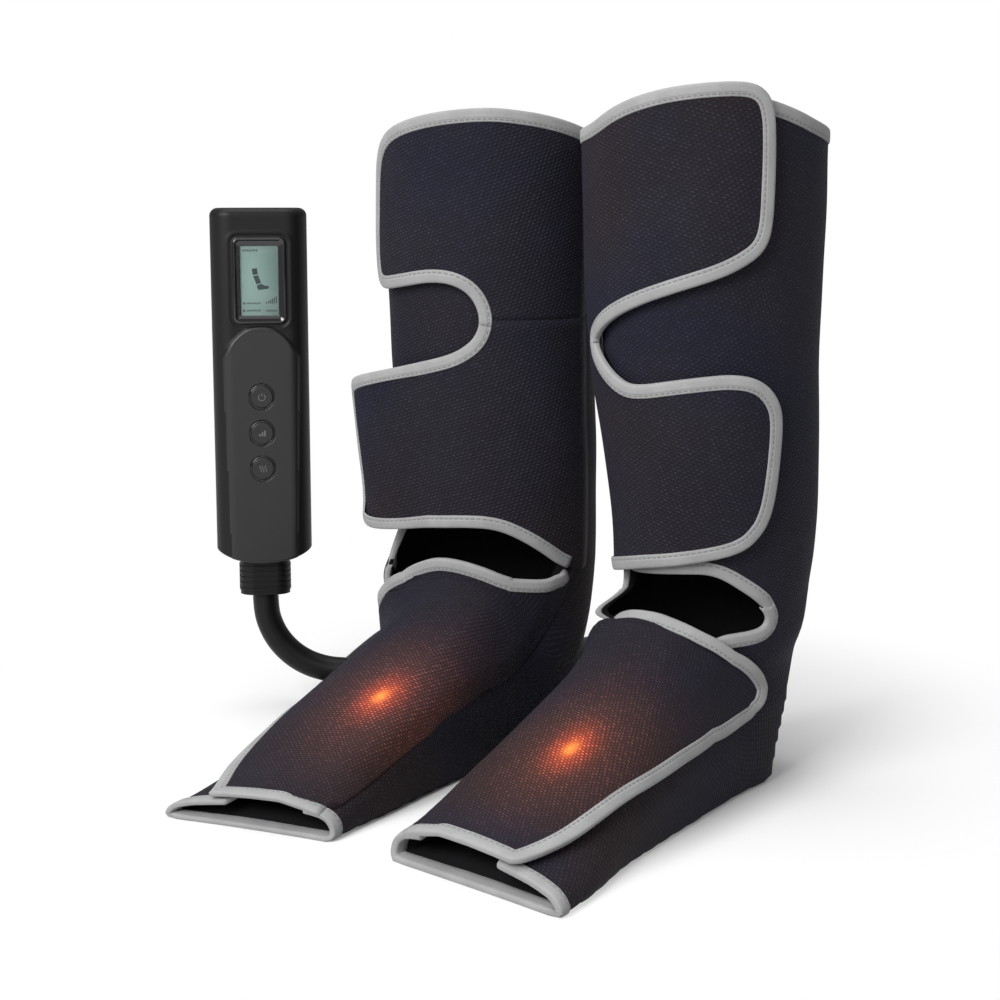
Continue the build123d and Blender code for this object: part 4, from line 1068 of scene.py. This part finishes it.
def panelReach(x, z):
    width = np.interp(z, [20, 146], [panelForm["low"], panelForm["high"]])
    arch = panelForm["top"] - panelForm["arch"] * np.minimum(np.abs(x) / panelForm["high"], 1.2) ** 2.4
    return smoothStep((arch - z) / panelForm["soft"]) * smoothStep((width - np.abs(x)) / panelForm["soft"])


# how far the face stands out: a groove round the display, the raised panel, and the buttons' wells
def faceRelief(x, z):
    display, panel, button = displayForm, panelForm, buttonForm
    halfWidth, halfHeight = display["width"] / 2, display["height"] / 2
    ring = roundedReach(x, z - display["middle"], halfWidth, halfHeight, display["corner"])
    relief = -0.8 * np.exp(-(((ring - 1.3) / 0.9) ** 2)) + 0.35 * np.exp(-(((ring - 3.6) / 1.2) ** 2))
    crown = panel["crown"] * (1 - (x / panel["high"]) ** 2)
    relief = relief + panelReach(x, z) * (panel["rise"] + crown)
    for height in button["heights"].values():
        inWell = np.hypot(x, z - height) < button["radius"] + button["wellGap"]
        relief = relief - button["wellDepth"] * inWell
    return relief


def makeFrontCase():
    sag = (pumpForm["width"] ** 2 / 4 + pumpForm["sag"] ** 2) / (2 * pumpForm["sag"])
    height, top, low = pumpForm["height"], pumpForm["topRound"], pumpForm["baseRound"]
    heights = np.concatenate([
        low * (1 - np.cos(np.linspace(0, pi / 2, 6)))[:-1],
        np.arange(low, height - top, 0.8),
        height - top + top * np.sin(np.linspace(0, pi / 2, 10)),
    ])
    rows = []
    for z in heights:
        over = max(0.0, z - (height - top))
        inset = top - np.sqrt(max(0.0, top**2 - over**2))
        if z < low:
            inset = low - np.sqrt(max(0.0, low**2 - (low - z) ** 2))
        x, y = frontSection(inset).T
        bottom = sag - np.sqrt(sag**2 - x**2)
        atZ = z + bottom * (1 - z / height)
        y = y - faceRelief(x, atZ) * (np.abs(y) > 8)
        rows.append(np.stack([x, y, atZ], -1))
    grid = np.array(rows)
    count = grid.shape[1]
    points = [pumpPoint(*p) for p in grid.reshape(-1, 3)]
    holeX, holeZ = displayForm["glassWidth"] / 2 + 1.2, displayForm["glassHeight"] / 2 + 1.2
    faces, which = [], []
    for r in range(len(grid) - 1):
        for c in range(count - 1):
            x, _, z = grid[r : r + 2, c : c + 2].reshape(4, 3).mean(0)
            if abs(x) < holeX and abs(z - displayForm["middle"]) < holeZ:
                continue
            a = r * count + c
            faces.append((a, a + 1, a + count + 1, a + count))
            # faces of the raised panel take the lighter plastic, the painted highlight; the rest keep the
            # case plastic
            which.append(int(panelReach(x, z) > 0.5 and 12 < c < count - 13))
    faces += [tuple(range(count))[::-1], tuple(range((len(grid) - 1) * count, len(grid) * count))]
    return meshObject("frontCase", points, faces, (casePlastic, highlitPanelPlastic), faceMaterials=which + [0, 0])


def roundedLoop(halfWidth, halfHeight, corner, y, middle, steps=8):
    loop = []
    for k, (sx, sz) in enumerate(((1, 1), (-1, 1), (-1, -1), (1, -1))):
        x, z = sx * (halfWidth - corner), middle + sz * (halfHeight - corner)
        for a in np.linspace(k * pi / 2, (k + 1) * pi / 2, steps):
            loop.append((x + corner * cos(a), y, z + corner * sin(a)))
    return loop


def loftLoops(name, loops, material, fillLast=False):
    count = len(loops[0])
    points = [pumpPoint(*p) for loop in loops for p in loop]
    faces = []
    for r in range(len(loops) - 1):
        for c in range(count):
            d = (c + 1) % count
            faces.append((r * count + c, (r + 1) * count + c, (r + 1) * count + d, r * count + d))
    if fillLast:
        faces.append(tuple(range((len(loops) - 1) * count, len(loops) * count))[::-1])
    return meshObject(name, points, faces, [material])


def roundLoops(profile, middle, steps=64):
    turns = np.linspace(0, 2 * pi, steps, endpoint=False)
    return [[(r * cos(a), y, middle + r * sin(a)) for a in turns] for r, y in profile]


def flatMarks(name, shapes, y, material):
    points, faces = [], []
    for shape in shapes:
        faces.append(tuple(range(len(points), len(points) + len(shape))))
        points += [pumpPoint(x, y, z) for x, z in shape]
    return meshObject(name, points, faces, [material])


def strokeShapes(line, width):
    line = np.array(line, float)
    way = unit(np.gradient(line, axis=0))
    across = np.stack([-way[:, 1], way[:, 0]], -1) * width / 2
    low, high = line - across, line + across
    return [[low[k], low[k + 1], high[k + 1], high[k]] for k in range(len(line) - 1)]


def boxShape(x, z, width, height):
    return [(x, z), (x + width, z), (x + width, z + height), (x, z + height)]


def displayShapes():
    half = displayForm["glassHeight"] / 2
    low, high = displayForm["middle"] - half, displayForm["middle"] + half
    shapes = [boxShape(4.2 + 1.35 * k, low + 8.2, 0.85, 1.0 + 0.8 * k) for k in range(6)]  # strength bars
    shapes += [  # a boot in three parts
        [(-5.2, 207.0), (-1.6, 207.6), (-0.9, 203.4), (-4.4, 202.9)],
        [(-4.3, 202.2), (-0.8, 202.7), (1.2, 197.6), (-2.0, 196.4)],
        [(-1.9, 195.7), (1.4, 196.9), (3.4, 195.6), (6.4, 195.2), (6.2, 193.4), (-1.0, 192.6)],
    ]
    # rows of small dashes that stand for no words
    shapes += [boxShape(-11.0 + 1.5 * k, high - 4.0, 0.9, 1.5) for k in range(7)]
    for row in (low + 7.6, low + 2.6):
        shapes.append(boxShape(-11.6, row, 1.5, 1.5))
        shapes += [boxShape(-9.2 + 1.25 * k, row + 0.2, 0.8, 1.1 + 0.3 * (k % 3 == 1)) for k in range(8)]
    return shapes + [boxShape(4.4 + 1.3 * k, low + 2.6, 0.85, 1.3) for k in range(6)]


def buttonShapes(kind, middle):
    if kind == "power_button":
        turns = np.linspace(radians(38), radians(322), 30)
        arc = [(2.3 * sin(a), middle - 0.2 + 2.3 * cos(a)) for a in turns]
        return strokeShapes(arc, 0.5) + [boxShape(-0.25, middle + 0.4, 0.5, 2.5)]
    if kind == "mode_button":
        return [boxShape(-2.3 + 1.7 * k, middle - 2.0, 1.1, 1.6 + 1.2 * k) for k in range(3)]
    waves = []
    for k in (-1, 0, 1):
        line = [(1.8 * k + 0.5 * sin(2 * pi * q), middle - 2.3 + 4.6 * q) for q in np.linspace(0, 1, 20)]
        waves += strokeShapes(line, 0.5)
    return waves


def makePump():
    def keep(piece, slotName, body="pump", stands=()):
        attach(piece, body)
        if stands:
            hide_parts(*stands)

    keep(makeFrontCase(), "case_plastic", stands=("front_housing",))
    w, h, middle = displayForm["width"] / 2, displayForm["height"] / 2, displayForm["middle"]
    gw, gh, back = displayForm["glassWidth"] / 2, displayForm["glassHeight"] / 2, displayForm["plate"]
    # how far past the display's edge or the glass, the corner's radius, and the depth
    outer = [(0.2, 4.2, -19.4), (0.1, 4.1, -20.7), (-0.3, 3.8, -21.3), (-0.9, 3.3, -21.5),
             (-1.5, 2.9, -21.35), (-1.9, 2.6, -20.9)]
    inner = [(0.6, 1.1, -20.75), (0.1, 0.8, -20.6), (0.1, 0.8, -19.0)]
    loops = [roundedLoop(w + past, h + past, corner, y, middle) for past, corner, y in outer]
    loops += [roundedLoop(gw + past, gh + past, corner, y, middle) for past, corner, y in inner]
    keep(loftLoops("displayFrame", loops, glossPlastic), "bezel_plastic", stands=("display_bezel",))
    plate = [roundedLoop(gw + 0.6, gh + 0.6, 0.5, y, middle) for y in (back + 1.0, back)]
    keep(loftLoops("displayPlate", plate, displayPlate, fillLast=True), "display", stands=("display_panel",))
    keep(flatMarks("displayMarks", displayShapes(), back - 0.03, displayInk), "display")
    front, radius = buttonForm["front"], buttonForm["radius"]
    around = [(0.12, -20.2), (0.14, -21.9), (0.5, -22.05), (0.95, -21.95), (1.15, -21.2)]
    rim = [(radius + past, y) for past, y in around]
    cap = [(radius, -18.6), (radius, front + 0.55), (radius - 0.2, front + 0.2), (radius - 0.6, front),
           (radius - 1.6, front + 0.04), (radius - 3.5, front + 0.16), (1.5, front + 0.22)]
    for kind, height in buttonForm["heights"].items():
        name = kind.split("_")[0]
        keep(loftLoops(name + "Surround", roundLoops(rim, height), glossPlastic), "case_plastic")
        capPiece = loftLoops(name + "Cap", roundLoops(cap, height), buttonPlastic, fillLast=True)
        keep(capPiece, "button_plastic", kind, (kind,))
        symbol = flatMarks(name + "Symbol", buttonShapes(kind, height), front + 0.02, buttonInk)
        keep(symbol, "button_plastic", kind)


makePump()
print("pump made")


# the pieces kept as they came, and what they are made of
carriedOver = [
    (casePlastic, ("rear_housing", "hose_plug")),
    (windowGlass, ("display_window",)),
    (boardResin, ("circuit_board",)),
    (steel, ("tact_switches", "pump_motor", "charge_port", "case_screws")),
    (cellWrap, ("battery_cells",)),
    (softTube, ("air_tube",)),
    (hoseRubber, ("plug_seal",)),
    (moulding, ("pump_head", "valve_block", "outlet_socket", "hose_splitter", "left_cuff", "right_cuff",
                "left_hose_inlet", "right_hose_inlet")),
]
for finish, names in carriedOver:
    for node in names:
        for slot in nodes[node].material_slots:
            slot.material = finish


studio = {
    "floor": 0.93,
    "floorGlow": 0.35,  # how pale the floor is to the light that it throws back
    "fade": (0.14, 0.44),  # metres from the middle over which the floor turns plain white
    "world": 0.34,
    "lamps": {  # place, what it aims at, size and power
        "keyLight": ((-0.1, -2.3, 1.5), (0, 0, 0.2), 1.4, 68),
        "fillLight": ((1.7, -1.5, 0.9), (0, 0, 0.2), 1.4, 6),
        "topLight": ((-0.4, -0.1, 2.4), (0, 0, 0.1), 1.6, 24),
    },
}


def makeFloor():
    floorMesh = bmesh.new()
    bmesh.ops.create_grid(floorMesh, x_segments=1, y_segments=1, size=4.0)
    mesh = bpy.data.meshes.new("floor")
    floorMesh.to_mesh(mesh)
    floorMesh.free()
    floor = link(bpy.data.objects.new("floor", mesh))
    floor.location = (centre.x - 0.06, centre.y, -0.0004)
    w = Wiring("paleFloor")
    away = w.vector("LENGTH", w.place())
    paths = w.node("ShaderNodeLightPath").outputs
    shade = w.mix(paths["Is Diffuse Ray"], (studio["floor"],) * 3, (studio["floorGlow"],) * 3)
    w.set(Base_Color=shade, Roughness=0.9, Specular_IOR_Level=0.1)
    seen = w.math("MAXIMUM", paths["Is Camera Ray"], paths["Is Glossy Ray"])
    plain = w.node("ShaderNodeEmission")
    w.mixShaders(w.times(w.smooth(away, *studio["fade"]), seen), w.shader.outputs[0], plain.outputs[0])
    mesh.materials.append(w.material)


def makeWorld():
    world = bpy.data.worlds.new("studio")
    bpy.context.scene.world = world
    world.use_nodes = True
    tree = world.node_tree
    background = tree.nodes["Background"].inputs
    paths = tree.nodes.new("ShaderNodeLightPath")
    level = tree.nodes.new("ShaderNodeMapRange")
    level.inputs["To Min"].default_value = studio["world"]
    tree.links.new(paths.outputs["Is Camera Ray"], level.inputs["Value"])
    tree.links.new(level.outputs["Result"], background["Strength"])
    background["Color"].default_value = (1, 1, 1, 1)


def makeLamps():
    for name, (place, aim, size, power) in studio["lamps"].items():
        data = bpy.data.lights.new(name, "AREA")
        data.size = size
        data.energy = power
        lamp = link(bpy.data.objects.new(name, data))
        lamp.location = Vector(place) + centre
        lamp.rotation_euler = (Vector(aim) - Vector(place)).to_track_quat("-Z", "Y").to_euler()


makeFloor()
makeWorld()
makeLamps()
bpy.context.scene.view_settings.view_transform = "Standard"
print("stage lit")
